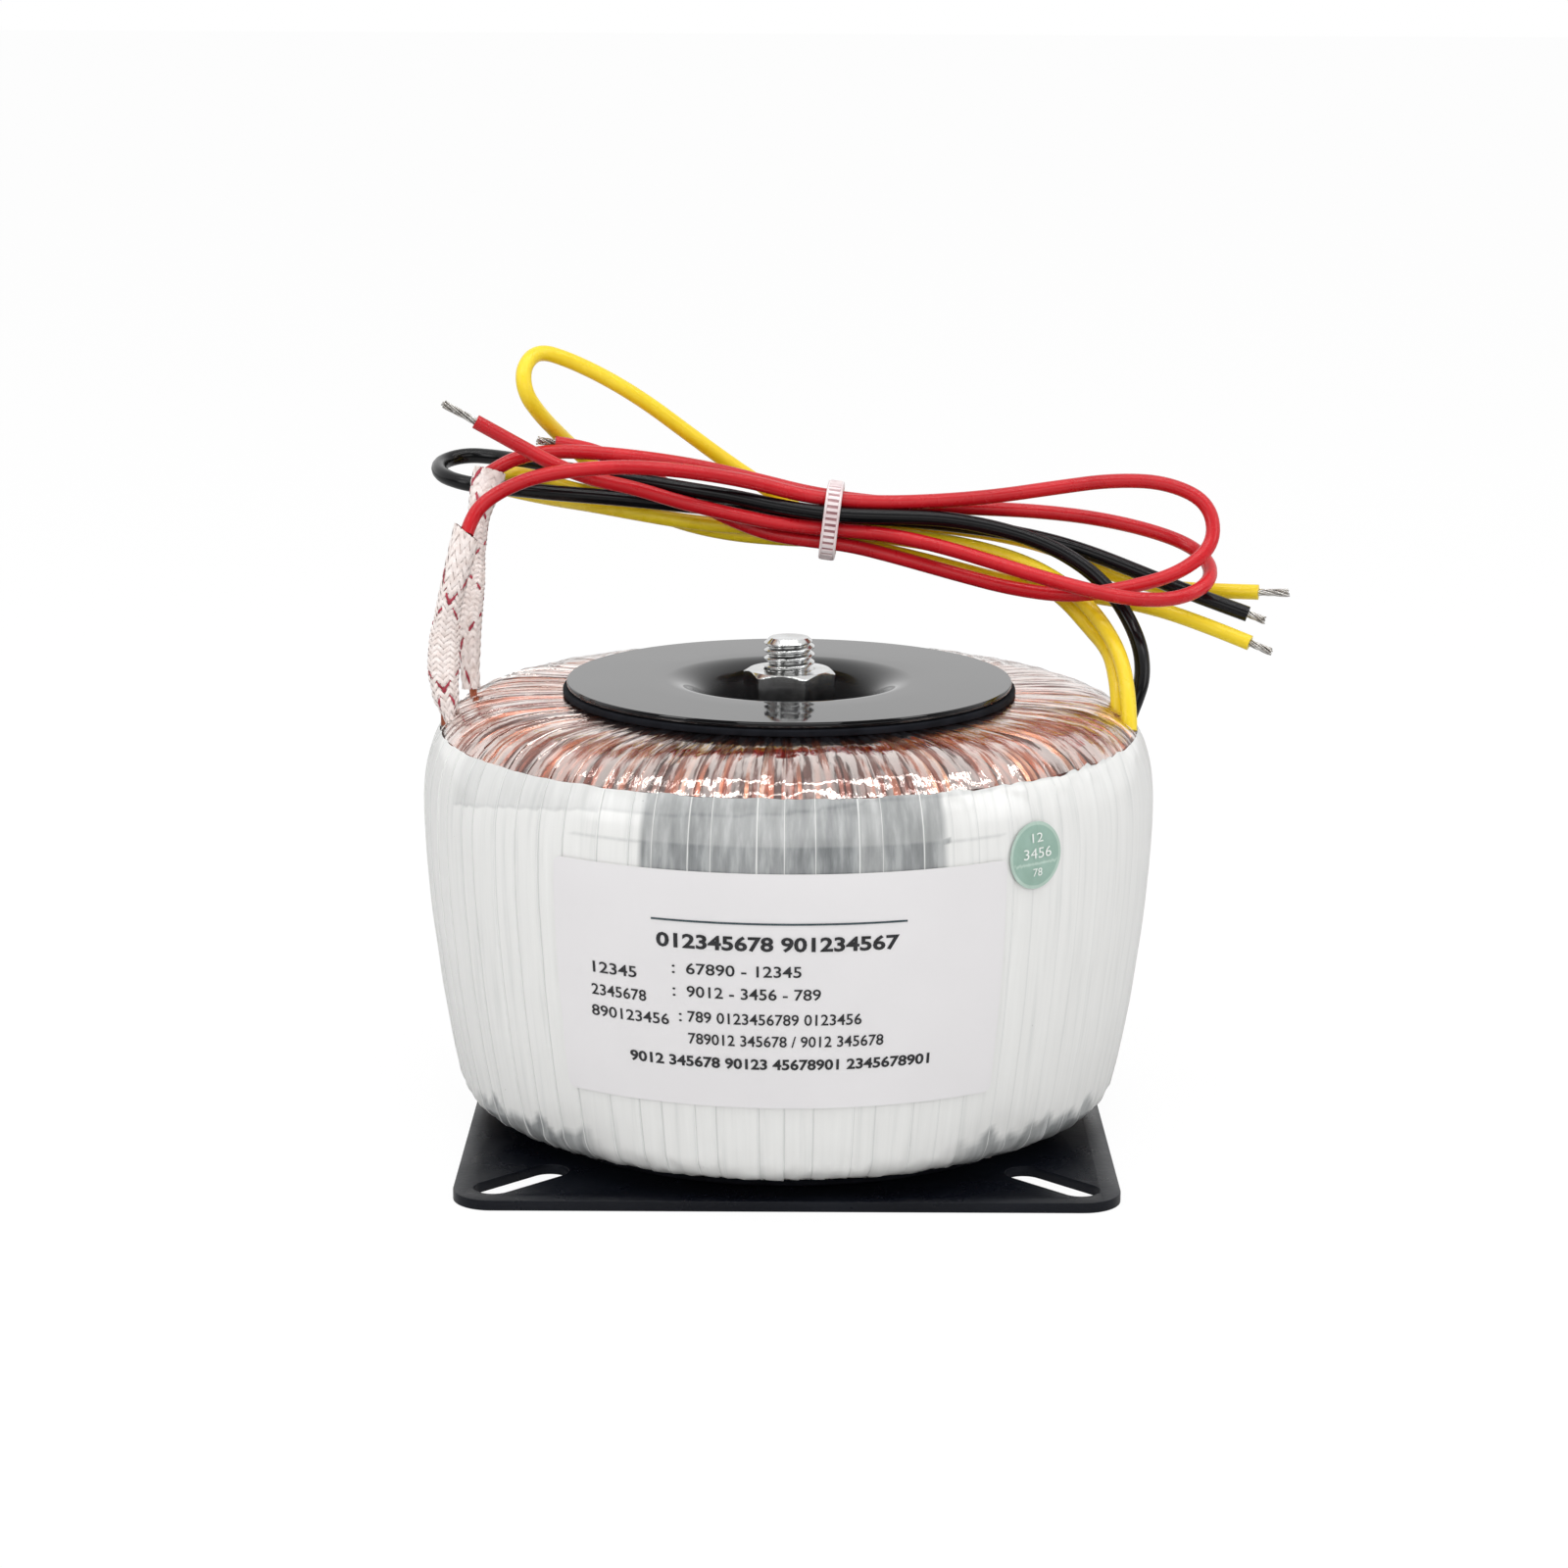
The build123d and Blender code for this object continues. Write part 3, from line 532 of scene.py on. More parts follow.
def seat(made, slot, *nodes):
    """Rides on the part and stands for CAD nodes, which it hides; slot is not used."""
    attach(made, "root")
    if nodes:
        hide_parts(*nodes)
    return made


def plain_mesh(made):
    """Evaluated mesh of an object, free of modifiers."""
    graph = bpy.context.evaluated_depsgraph_get()
    graph.update()
    return bpy.data.meshes.new_from_object(made.evaluated_get(graph), depsgraph=graph)


def drop(made):
    data = made.data
    bpy.data.objects.remove(made)
    if data.users == 0:
        (bpy.data.meshes if isinstance(data, bpy.types.Mesh) else bpy.data.curves).remove(data)


def grid_faces(rows, columns, close_rows=False, close_columns=True, offset=0, flip=False):
    faces = []
    for row in range(rows if close_rows else rows - 1):
        for column in range(columns if close_columns else columns - 1):
            a = offset + row * columns + column
            b = offset + row * columns + (column + 1) % columns
            c = offset + (row + 1) % rows * columns + (column + 1) % columns
            d = offset + (row + 1) % rows * columns + column
            faces.append((d, c, b, a) if flip else (a, b, c, d))
    return faces


def turned(name, profile, columns, materials, smooth_angle=40):
    """Solid of revolution from the (radius, level) points of a closed profile."""
    vertices = []
    for radius, level in profile:
        for column in range(columns):
            angle = 2 * math.pi * column / columns
            vertices.append((radius * math.sin(angle), -radius * math.cos(angle), level))
    made = mesh_object(name, vertices, grid_faces(len(profile), columns, True), materials, smooth_angle)
    face_outwards(made.data)
    return made


def face_outwards(mesh):
    work = bmesh.new()
    work.from_mesh(mesh)
    bmesh.ops.remove_doubles(work, verts=work.verts, dist=1e-7)
    bmesh.ops.recalc_face_normals(work, faces=work.faces)
    work.to_mesh(mesh)
    work.free()


def rounded(points, radii, steps=6):
    """2D polyline through points, each inner corner turned into an arc."""
    path = [Vector(points[0])]
    for before, here, after, radius in zip(points, points[1:], points[2:], radii):
        before, here, after = Vector(before), Vector(here), Vector(after)
        back = (before - here).normalized()
        ahead = (after - here).normalized()
        half = math.acos(max(-1, min(1, back.dot(ahead)))) / 2
        reach = radius / math.tan(half)
        centre = here + (back + ahead).normalized() * (radius / math.sin(half))
        first = here + back * reach - centre
        last = here + ahead * reach - centre
        for step in range(steps + 1):
            share = step / steps
            arm = (first * (1 - share) + last * share).normalized() * radius
            path.append(centre + arm)
    path.append(Vector(points[-1]))
    return path


def softened_copy(node, name, material, slot, width=0.15):
    """CAD node with its doubles merged, flat faces joined and hard edges rounded."""
    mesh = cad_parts[node].data.copy()
    work = bmesh.new()
    work.from_mesh(mesh)
    bmesh.ops.remove_doubles(work, verts=work.verts, dist=2e-6)
    bmesh.ops.dissolve_limit(
        work, angle_limit=math.radians(2), verts=work.verts, edges=work.edges
    )
    work.to_mesh(mesh)
    work.free()
    mesh.materials.clear()
    mesh.materials.append(material)
    made = object_from(name, mesh, 30)
    edge = made.modifiers.new("edge", "BEVEL")
    edge.width = width * MM
    edge.segments = 3
    edge.limit_method = "ANGLE"
    edge.angle_limit = math.radians(35)
    finished = plain_mesh(made)
    drop(made)
    return seat(object_from(name, finished, 30), slot, node)


# Outline of the wound body

def cubic(points, count):
    first, pull_a, pull_b, last = (Vector(point) for point in points)
    line = []
    for step in range(count):
        t = step / count
        rest = 1 - t
        line.append(
            first * rest ** 3 + pull_a * 3 * t * rest ** 2 + pull_b * 3 * t ** 2 * rest + last * t ** 3
        )
    return line


def body_outline():
    """Closed section of the film as (radius, level), from the crown outwards, down, in and up the hole."""
    line = [Vector((HOLE_RADIUS + HOLE_LIP + 13 * step / 10, BODY_TOP)) for step in range(10)]
    line += cubic([
        (CROWN_RADIUS, BODY_TOP), (CROWN_RADIUS + CROWN_PULL, BODY_TOP),
        (BELLY_RADIUS, BELLY_LEVEL + SHOULDER_PULL), (BELLY_RADIUS, BELLY_LEVEL),
    ], 36)
    line += cubic([
        (BELLY_RADIUS, BELLY_LEVEL), (BELLY_RADIUS, BELLY_LEVEL - BELLY_PULL),
        (FOOT_RADIUS + FOOT_LEAN * FOOT_PULL, FOOT_LEVEL + FOOT_PULL), (FOOT_RADIUS, FOOT_LEVEL),
    ], 30)
    foot_drop = (FOOT_LEVEL - BODY_BOTTOM) / 2
    line += cubic([
        (FOOT_RADIUS, FOOT_LEVEL), (FOOT_RADIUS - FOOT_LEAN * foot_drop, FOOT_LEVEL - foot_drop),
        (FLAT_RADIUS + FLAT_PULL, BODY_BOTTOM), (FLAT_RADIUS, BODY_BOTTOM),
    ], 10)
    hole = [
        (FLAT_RADIUS, BODY_BOTTOM), (HOLE_RADIUS, BODY_BOTTOM), (HOLE_RADIUS, BODY_TOP),
        (HOLE_RADIUS + HOLE_LIP, BODY_TOP),
    ]
    line += rounded(hole, [HOLE_LIP, HOLE_LIP * 0.99], 5)[:-1]
    return line


def outward_normals(line):
    """Normals of the closed section that point out of the body, as they do at its widest point."""
    found = []
    for index in range(len(line)):
        along = line[(index + 1) % len(line)] - line[index - 1]
        found.append(Vector((-along.y, along.x)).normalized())
    belly = max(range(len(line)), key=lambda index: line[index].x)
    return found if found[belly].x > 0 else [-normal for normal in found]


OUTLINE = body_outline()
OUTWARD = outward_normals(OUTLINE)


def skin_radius(level):
    """Radius of the side at a level."""
    belly = max(range(len(OUTLINE)), key=lambda index: OUTLINE[index].x)
    for index in range(10, len(OUTLINE) - 1):
        a, b = OUTLINE[index], OUTLINE[index + 1]
        if a.x > CROWN_RADIUS and min(a.y, b.y) <= level <= max(a.y, b.y) and a.y != b.y:
            share = (level - a.y) / (b.y - a.y)
            return a.x + (b.x - a.x) * share
    return OUTLINE[belly].x


def on_side(angle, level, lift):
    """Point on the side at an angle from -Y towards +X, lifted off the film."""
    radius = skin_radius(level) + lift
    return (radius * math.sin(angle), -radius * math.cos(angle), level)


def lap_edges(seed):
    """Angles of the lap edges, a little uneven, as hand-fed tape lies."""
    rng = random.Random(seed)
    step = 2 * math.pi / FILM_LAPS
    return [step * (index + rng.uniform(-0.28, 0.28)) for index in range(FILM_LAPS)]


LAPS = lap_edges(7)


def lap_columns(shares):
    """Angle, place within the lap from 0 under its neighbour to 1 on top of the next, and lap number."""
    columns = []
    for index, start in enumerate(LAPS):
        end = LAPS[(index + 1) % FILM_LAPS] + (2 * math.pi if index == FILM_LAPS - 1 else 0)
        for share in shares:
            gap = 0.012 if share == shares[-1] else 0.0
            columns.append((start + (end - start) * (share - gap), share, index))
    return columns


FILM_SHARES = [0.0, 0.12, 0.25, 0.37, 0.5, 0.62, 0.75, 0.87, 1.0]
BAND_SHARES = [0.0, 0.05, 0.12, 0.35, 0.6, 0.85, 0.95, 0.98, 1.0]


# Copper turns

def section_loop(inset):
    """Section of the winding as a loop of edges, centred on its own middle."""
    middle = (BODY_TOP + BODY_BOTTOM) / 2
    points = []
    for here, out in zip(OUTLINE[::2], OUTWARD[::2]):
        spot = here - out * inset
        points.append(((spot.x - SECTION_RADIUS) * MM, 0, (spot.y - middle) * MM))
    mesh = bpy.data.meshes.new("section")
    edges = [(index, (index + 1) % len(points)) for index in range(len(points))]
    mesh.from_pydata(points, edges, [])
    made = bpy.data.objects.new("section", mesh)
    bpy.context.scene.collection.objects.link(made)
    return made


def nodes_tree(name, inputs):
    """Geometry Nodes tree with a mesh in, a mesh out and named sizes."""
    tree = bpy.data.node_groups.new(name, "GeometryNodeTree")
    tree.interface.new_socket("Mesh", in_out="OUTPUT", socket_type="NodeSocketGeometry")
    tree.interface.new_socket("Mesh", in_out="INPUT", socket_type="NodeSocketGeometry")
    for socket, kind in inputs:
        tree.interface.new_socket(socket, in_out="INPUT", socket_type=kind)
    start = tree.nodes.new("NodeGroupInput")
    end = tree.nodes.new("NodeGroupOutput")
    return tree, start, end


def run_tree(made, tree, sizes):
    """Applies a tree with its sizes and returns the plain mesh."""
    modifier = made.modifiers.new(tree.name, "NODES")
    modifier.node_group = tree
    for socket in tree.interface.items_tree:
        if socket.in_out == "INPUT" and socket.name in sizes:
            modifier[socket.identifier] = sizes[socket.name]
    mesh = plain_mesh(made)
    drop(made)
    return mesh


def turns_tree(material):
    """Lays one turn of wire after another round the ring, each with its own lean, tone and depth."""
    tree, start, end = nodes_tree("copper_turns", [
        ("Turns", "NodeSocketInt"), ("Ring Radius", "NodeSocketFloat"), ("Level", "NodeSocketFloat"),
        ("Wire Radius", "NodeSocketFloat"), ("Lean", "NodeSocketFloat"),
    ])
    loop = add_node(tree, "GeometryNodeMeshToCurve")
    ring = add_node(tree, "GeometryNodeMeshCircle")
    raised = add_node(tree, "GeometryNodeTransform")
    lift = add_node(tree, "ShaderNodeCombineXYZ")
    count = add_node(tree, "GeometryNodeInputIndex")
    step = add_node(tree, "ShaderNodeMath", {"operation": "DIVIDE"}, {0: 2 * math.pi})
    around = add_node(tree, "ShaderNodeMath", {"operation": "MULTIPLY_ADD"})
    lean = add_node(tree, "FunctionNodeRandomValue", {"data_type": "FLOAT"}, {"Seed": 3})
    lean_low = add_node(tree, "ShaderNodeMath", {"operation": "MULTIPLY"}, {1: -0.35})
    tip = add_node(tree, "FunctionNodeRandomValue", {"data_type": "FLOAT"}, {"Seed": 5, 2: -0.02, 3: 0.02})
    turn = add_node(tree, "ShaderNodeCombineXYZ")
    size = add_node(tree, "FunctionNodeRandomValue", {"data_type": "FLOAT"}, {"Seed": 11, 2: 0.988, 3: 1.002})
    laid = add_node(tree, "GeometryNodeInstanceOnPoints")
    tone = add_node(tree, "FunctionNodeRandomValue", {"data_type": "FLOAT"}, {"Seed": 23})
    toned = add_node(
        tree, "GeometryNodeStoreNamedAttribute", {"data_type": "FLOAT", "domain": "INSTANCE"},
        {"Name": "turn_tone"},
    )
    real = add_node(tree, "GeometryNodeRealizeInstances")
    wire = add_node(tree, "GeometryNodeCurvePrimitiveCircle", values={"Resolution": 6})
    swept = add_node(tree, "GeometryNodeCurveToMesh")
    smooth = add_node(tree, "GeometryNodeSetShadeSmooth")
    solid = add_node(tree, "GeometryNodeRealizeInstances")
    coloured = add_node(tree, "GeometryNodeSetMaterial", values={"Material": material})
    join(
        tree,
        (start, "Mesh", loop, "Mesh"), (start, "Turns", ring, "Vertices"),
        (start, "Ring Radius", ring, "Radius"), (ring, "Mesh", raised, "Geometry"),
        (start, "Level", lift, "Z"), (lift, "Vector", raised, "Translation"),
        (start, "Turns", step, 1), (count, "Index", around, 0), (step, "Value", around, 1),
        (start, "Lean", lean_low, 0), (lean_low, "Value", lean, 2), (start, "Lean", lean, 3),
        (lean, 1, around, 2), (tip, 1, turn, "X"), (around, "Value", turn, "Z"),
        (raised, "Geometry", laid, "Points"), (loop, "Curve", laid, "Instance"),
        (turn, "Vector", laid, "Rotation"), (size, 1, laid, "Scale"),
        (laid, "Instances", toned, "Geometry"), (tone, 1, toned, "Value"),
        (toned, "Geometry", real, "Geometry"), (start, "Wire Radius", wire, "Radius"),
        (real, "Geometry", swept, "Curve"), (wire, "Curve", swept, "Profile Curve"),
        (swept, "Mesh", smooth, "Geometry"), (smooth, "Geometry", solid, "Geometry"),
        (solid, "Geometry", coloured, "Geometry"), (coloured, "Geometry", end, "Mesh"),
    )
    return tree


def make_winding(copper, shadow):
    """Turns of enamelled wire over a dark sheet that paints the shade between them."""
    tree = turns_tree(copper)
    turns = run_tree(section_loop(WIRE_DEPTH + WIRE_RADIUS), tree, {
        "Turns": TURNS,
        "Ring Radius": SECTION_RADIUS * MM,
        "Level": (BODY_TOP + BODY_BOTTOM) / 2 * MM,
        "Wire Radius": WIRE_RADIUS * MM,
        "Lean": 0.06,
    })
    inner = [here - out * (WIRE_DEPTH + WIRE_RADIUS * 1.5) for here, out in zip(OUTLINE, OUTWARD)]
    shade_sheet = turned("winding_shade_sheet", [(spot.x, spot.y) for spot in inner[::2]], 96, [shadow])
    seat(shade_sheet, "copper")
    winding = object_from("copper_turns", turns)
    return seat(winding, "copper", "secondary_winding")


# Film and band

def make_film(material):
    """Clear tape lapped over the ring: a fine step at each lap and folds that run with the turns."""
    columns = lap_columns(FILM_SHARES)
    rows = []
    travel = 0.0
    previous = OUTLINE[0]
    for here, out in zip(OUTLINE, OUTWARD):
        travel += (here - previous).length
        previous = here
        if here.x > CROWN_RADIUS and BAND_FOOT + 1 < here.y < BAND_TOP - 0.4:
            continue
        rows.append((here, out, travel))
    vertices = []
    folds = []
    for here, out, along in rows:
        for angle, share, lap in columns:
            slant = angle + 0.0035 * (along - 20) * math.sin(angle * 3 + 1)
            crease = noise.noise(Vector((slant * 22, along * 0.07, 4.0)))
            fine = noise.noise(Vector((slant * 58, along * 0.2, 9.0)))
            ripple = noise.noise(Vector((angle * 11, along * 0.5, 2.0)))
            near_shoulder = math.exp(-((here.x - 52) / 6) ** 2) if here.y > 50 else 0.0
            tight = 0.35 + 0.65 * min(1.0, max(0.0, (here.x - 38) / 10))
            lift = (share - 0.5) * LAP_STEP * here.x / BELLY_RADIUS * 0.6
            side = 0.6 + 0.4 * abs(math.sin(angle))
            lift += tight * side * (0.26 * crease + 0.12 * fine) + 0.2 * near_shoulder * ripple
            lift = max(lift, -0.42)
            spot = here + out * lift
            vertices.append((spot.x * math.sin(angle), -spot.x * math.cos(angle), spot.y))
            edge = 1.0 if share > 0.95 else 0.0
            folds.append(min(1.0, max(0.0, 0.9 * edge + 1.2 * max(0.0, crease - 0.25) + 0.3 * abs(fine))))
    breaks = {index for index in range(len(rows) - 1) if (rows[index + 1][0] - rows[index][0]).length > 10}
    width = len(columns)
    faces = []
    for row in range(len(rows)):
        if row in breaks:
            continue
        after = (row + 1) % len(rows)
        for column in range(width):
            beside = (column + 1) % width
            faces.append((row * width + column, after * width + column, after * width + beside,
                          row * width + beside))
    made = mesh_object("clear_film", vertices, faces, [material], 60)
    face_outwards_keep(made.data)
    store(made.data, "fold", folds)
    add_ring_uv(made.data)
    return seat(made, "clear_film", "outer_film")


def face_outwards_keep(mesh):
    """Turns faces outwards without merging, so that stored values keep their order."""
    work = bmesh.new()
    work.from_mesh(mesh)
    bmesh.ops.recalc_face_normals(work, faces=work.faces)
    work.to_mesh(mesh)
    work.free()


def store(mesh, name, values):
    attribute = mesh.attributes.new(name, "FLOAT", "POINT")
    for index, value in enumerate(values):
        attribute.data[index].value = value


def add_ring_uv(mesh):
    """UV map: the angle round the ring, and the level."""
    layer = mesh.uv_layers.new(name="ring")
    for polygon in mesh.polygons:
        angles = []
        for loop in polygon.loop_indices:
            point = mesh.vertices[mesh.loops[loop].vertex_index].co
            angles.append((loop, math.atan2(point.x, -point.y), point))
        seam = max(angle for _, angle, _ in angles) - min(angle for _, angle, _ in angles) > math.pi
        for loop, angle, point in angles:
            turn = angle + (2 * math.pi if seam and angle < 0 else 0)
            radius = math.hypot(point.x, point.y) / MM
            layer.data[loop].uv = (turn / (2 * math.pi), (point.z / MM + (60 - radius)) / 60)


# Slanting strip near the band's top, as (degrees, level) along its lower edge
OVERLAP_LINE = [(-62, 56.6), (-45, 59.2), (-30, 60.9), (-12, 61.4), (2, 62.2), (14, 63.6), (62, 63.9)]
# Crumpled patches at the foot, as (middle, half width) in degrees
FOOT_PATCHES = ((-50, 18), (48, 20), (150, 20), (-120, 18))


def overlap_level(degrees):
    """Level of the lower edge of the slanting strip."""
    for (left, low), (right, high) in zip(OVERLAP_LINE, OVERLAP_LINE[1:]):
        if degrees <= right:
            return low + (high - low) * (degrees - left) / (right - left)
    return OVERLAP_LINE[-1][1]


def silver_amount(angle, level):
    """Grey see-through patches above the label and round the foot."""
    degrees = math.degrees(angle)
    amount = 0.0
    fold = 23.5 + 2.2 * noise.noise(Vector((level * 0.55, 7, 3)))
    if -22.3 < degrees < fold and level > 52:
        amount = 1.0 if level < 57.5 else 0.82
    elif level < 57.5 and level > 57.1 and abs(degrees) < 33:
        amount = 0.3
    over = overlap_level(degrees)
    if abs(degrees) < 62 and abs(level - over) < 0.22:
        amount = max(amount + 0.12, 0.34)
    elif abs(degrees) < 62 and level > over:
        amount = max(amount, 0.24)
    for middle, spread in FOOT_PATCHES:
        off = (degrees - middle + 180) % 360 - 180
        reach = 10.0 + 3.2 * noise.noise(Vector((degrees * 0.3, 3, 1)))
        if abs(off) < spread and level < reach:
            amount = max(amount, 0.9 * min(1, (spread - abs(off)) / 4) * min(1, (reach - level) / 1.2))
    return amount


def make_band(material):
    """White tape round the side, seen under the laps, gathered at its top and crumpled at its foot."""
    columns = lap_columns(BAND_SHARES)
    levels = []
    level = BAND_TOP
    while level > BAND_FOOT:
        levels.append(level)
        level -= 0.4 if level > 55 else (0.7 if level < 14 else 1.6)
    levels.append(BAND_FOOT)
    vertices = []
    silver = []
    edges = []
    rng = random.Random(19)
    lap_highlight_strengths = [rng.uniform(0.05, 0.6) for _ in range(FILM_LAPS)]
    tones = [rng.uniform(0.72, 1.0) for _ in range(FILM_LAPS)]
    for row, level in enumerate(levels):
        for angle, share, lap in columns:
            degrees = (math.degrees(angle) + 180) % 360 - 180
            gather = max(0.0, 1 - (BAND_TOP - level) / 3.2)
            right = 1.0 + 2.0 * math.exp(-((degrees - 48) / 26) ** 2)
            crumple = noise.noise(Vector((angle * 34, level * 0.5, 1.7)))
            broad = noise.noise(Vector((angle * 8, level * 0.12, 6.1)))
            lift = (share - 0.5) * LAP_STEP * 0.4 + 0.1 * broad
            lift += gather * (right - 0.4) * 0.3 * crumple + 0.1 * gather
            foot = max(0.0, 1 - (level - BAND_FOOT) / 6)
            lift += foot * 0.75 * crumple
            drop_edge = 0.0
            if row == 0:
                drop_edge = 0.22 * noise.noise(Vector((angle * 12, 0, 2))) + 0.42 * (right - 1) * crumple
            if row == len(levels) - 1:
                drop_edge = 0.8 * noise.noise(Vector((angle * 16, 5, 2)))
            vertices.append(on_side(angle, level + drop_edge, lift))
            silver.append(silver_amount(math.radians(degrees), level) * tones[lap])
            # Painted lap-edge light: a highlight on each lap's top edge, a shadow line at its start under the
            # neighbour
            lap_highlight = 1.0 if silver[-1] > 0.5 else 0.5 + lap_highlight_strengths[lap]
            edges.append(min(1.0, lap_highlight) if share > 0.96 else (0.45 if share < 0.01 else 0.0))
    faces = grid_faces(len(levels), len(columns), flip=True)
    made = mesh_object("white_band", vertices, faces, [material], 60)
    face_outwards_keep(made.data)
    store(made.data, "silver", silver)
    store(made.data, "lap_edge", edges)
    add_ring_uv(made.data)
    return seat(made, "tape_white", "side_wrap")


# Label, its print and the sticker

def make_label(material):
    columns, rows = 70, 36
    vertices = []
    radius = skin_radius(LABEL_LOW + LABEL_HEIGHT * 0.7) + LABEL_LIFT
    for row in range(rows + 1):
        for column in range(columns + 1):
            across = (column / columns - 0.5) * LABEL_WIDTH
            up = row / rows * LABEL_HEIGHT
            level = LABEL_LOW + up
            angle = across / radius + math.radians(LABEL_TURN)
            lift = LABEL_LIFT + 0.06 * noise.noise(Vector((across * 0.08, up * 0.12, 3)))
            if column in (0, columns) and row in (0, rows):
                angle -= math.copysign(LABEL_CORNER / radius, across)
                level -= math.copysign(LABEL_CORNER, up - LABEL_HEIGHT / 2)
            vertices.append(on_side(angle, level, lift))
    faces = grid_faces(rows + 1, columns + 1, close_columns=False)
    made = mesh_object("paper_label", vertices, faces, [material], 60)
    face_away_from_axis(made.data)
    thick = made.modifiers.new("paper", "SOLIDIFY")
    thick.thickness = LABEL_THICKNESS * MM
    thick.offset = 1
    finished = plain_mesh(made)
    drop(made)
    return seat(object_from("paper_label", finished, 40), "label_paper", "label")


def face_away_from_axis(mesh):
    work = bmesh.new()
    work.from_mesh(mesh)
    flipped = [
        face for face in work.faces
        if face.normal.dot(Vector((face.calc_center_median().x, face.calc_center_median().y, 0))) < 0
    ]
    bmesh.ops.reverse_faces(work, faces=flipped)
    work.to_mesh(mesh)
    work.free()


PRINT_LIFT = LABEL_LIFT + 0.2
PRINT_RADIUS = 58.0
RULE_LEFT = -19.9
RULE_LENGTH = 37.2
RULE_LOW = 45.95
RULE_HIGH = 46.25
# Digits, left, right, level, height and weight
PRINT_ROWS = [
    ("012345678 901234567", -19.2, 16.2, 41.9, 2.3, 0.03),
    ("12345", -28.9, -22.3, 36.7, 1.75, 0.012),
    (":", -17.0, -16.55, 38.0, 1.3, 0.0),
    ("67890 - 12345", -14.9, 2.0, 38.0, 1.75, 0.012),
    ("2345678", -29.3, -21.0, 33.2, 1.75, 0.012),
    (":", -17.0, -16.55, 34.5, 1.3, 0.0),
    ("9012 - 3456 - 789", -14.9, 4.9, 34.5, 1.75, 0.012),
    ("890123456", -29.5, -17.7, 29.9, 1.75, 0.012),
    (":", -16.2, -15.75, 30.6, 1.3, 0.0),
    ("789 0123456789 0123456", -14.9, 11.0, 30.6, 1.75, 0.012),
    ("789012 345678 / 9012 345678", -14.9, 14.4, 27.2, 1.75, 0.012),
    ("9012 345678 90123 45678901 2345678901", -24.0, 21.6, 23.6, 1.75, 0.03),
]
STICKER_ROWS = [
    ("12", -0.9, 1.2, 2.0, 1.35, 0.0),
    ("3456", -2.6, 2.8, -0.4, 1.55, 0.0),
    ("78", -0.8, 1.0, -3.1, 1.2, 0.0),
]


def printed_number(text, left, right, level, height, weight):
    """Plain digits set to a width and a height, as points (across, up) and faces."""
    words = bpy.data.curves.new("print", "FONT")
    words.body = text
    words.offset = weight
    words.resolution_u = 3
    made = bpy.data.objects.new("print", words)
    bpy.context.scene.collection.objects.link(made)
    mesh = plain_mesh(made)
    drop(made)
    low = min(vertex.co.x for vertex in mesh.vertices)
    high = max(vertex.co.x for vertex in mesh.vertices)
    foot = min(vertex.co.y for vertex in mesh.vertices)
    top = max(vertex.co.y for vertex in mesh.vertices)
    wide = (right - left) / (high - low)
    tall = height / (top - foot)
    points = [
        (left + (vertex.co.x - low) * wide, level + (vertex.co.y - foot) * tall) for vertex in mesh.vertices
    ]
    faces = [tuple(polygon.vertices) for polygon in mesh.polygons]
    bpy.data.meshes.remove(mesh)
    return points, faces


def make_print(ink, rule):
    vertices = []
    faces = []
    for row in PRINT_ROWS:
        points, outlines = printed_number(*row)
        start = len(vertices)
        for across, level in points:
            vertices.append(on_side(math.asin(across / PRINT_RADIUS), level, PRINT_LIFT))
        faces += [tuple(start + index for index in outline) for outline in outlines]
    made = mesh_object("label_numbers", vertices, faces, [ink], 60)
    face_away_from_axis(made.data)
    seat(made, "label_paper")
    steps = 40
    strip = []
    for step in range(steps + 1):
        angle = math.asin((RULE_LEFT + RULE_LENGTH * step / steps) / PRINT_RADIUS)
        strip.append(on_side(angle, RULE_LOW, PRINT_LIFT))
        strip.append(on_side(angle, RULE_HIGH, PRINT_LIFT))
    quads = [(2 * step, 2 * step + 2, 2 * step + 3, 2 * step + 1) for step in range(steps)]
    line = mesh_object("label_rule", strip, quads, [rule], 60)
    face_away_from_axis(line.data)
    return seat(line, "label_paper")


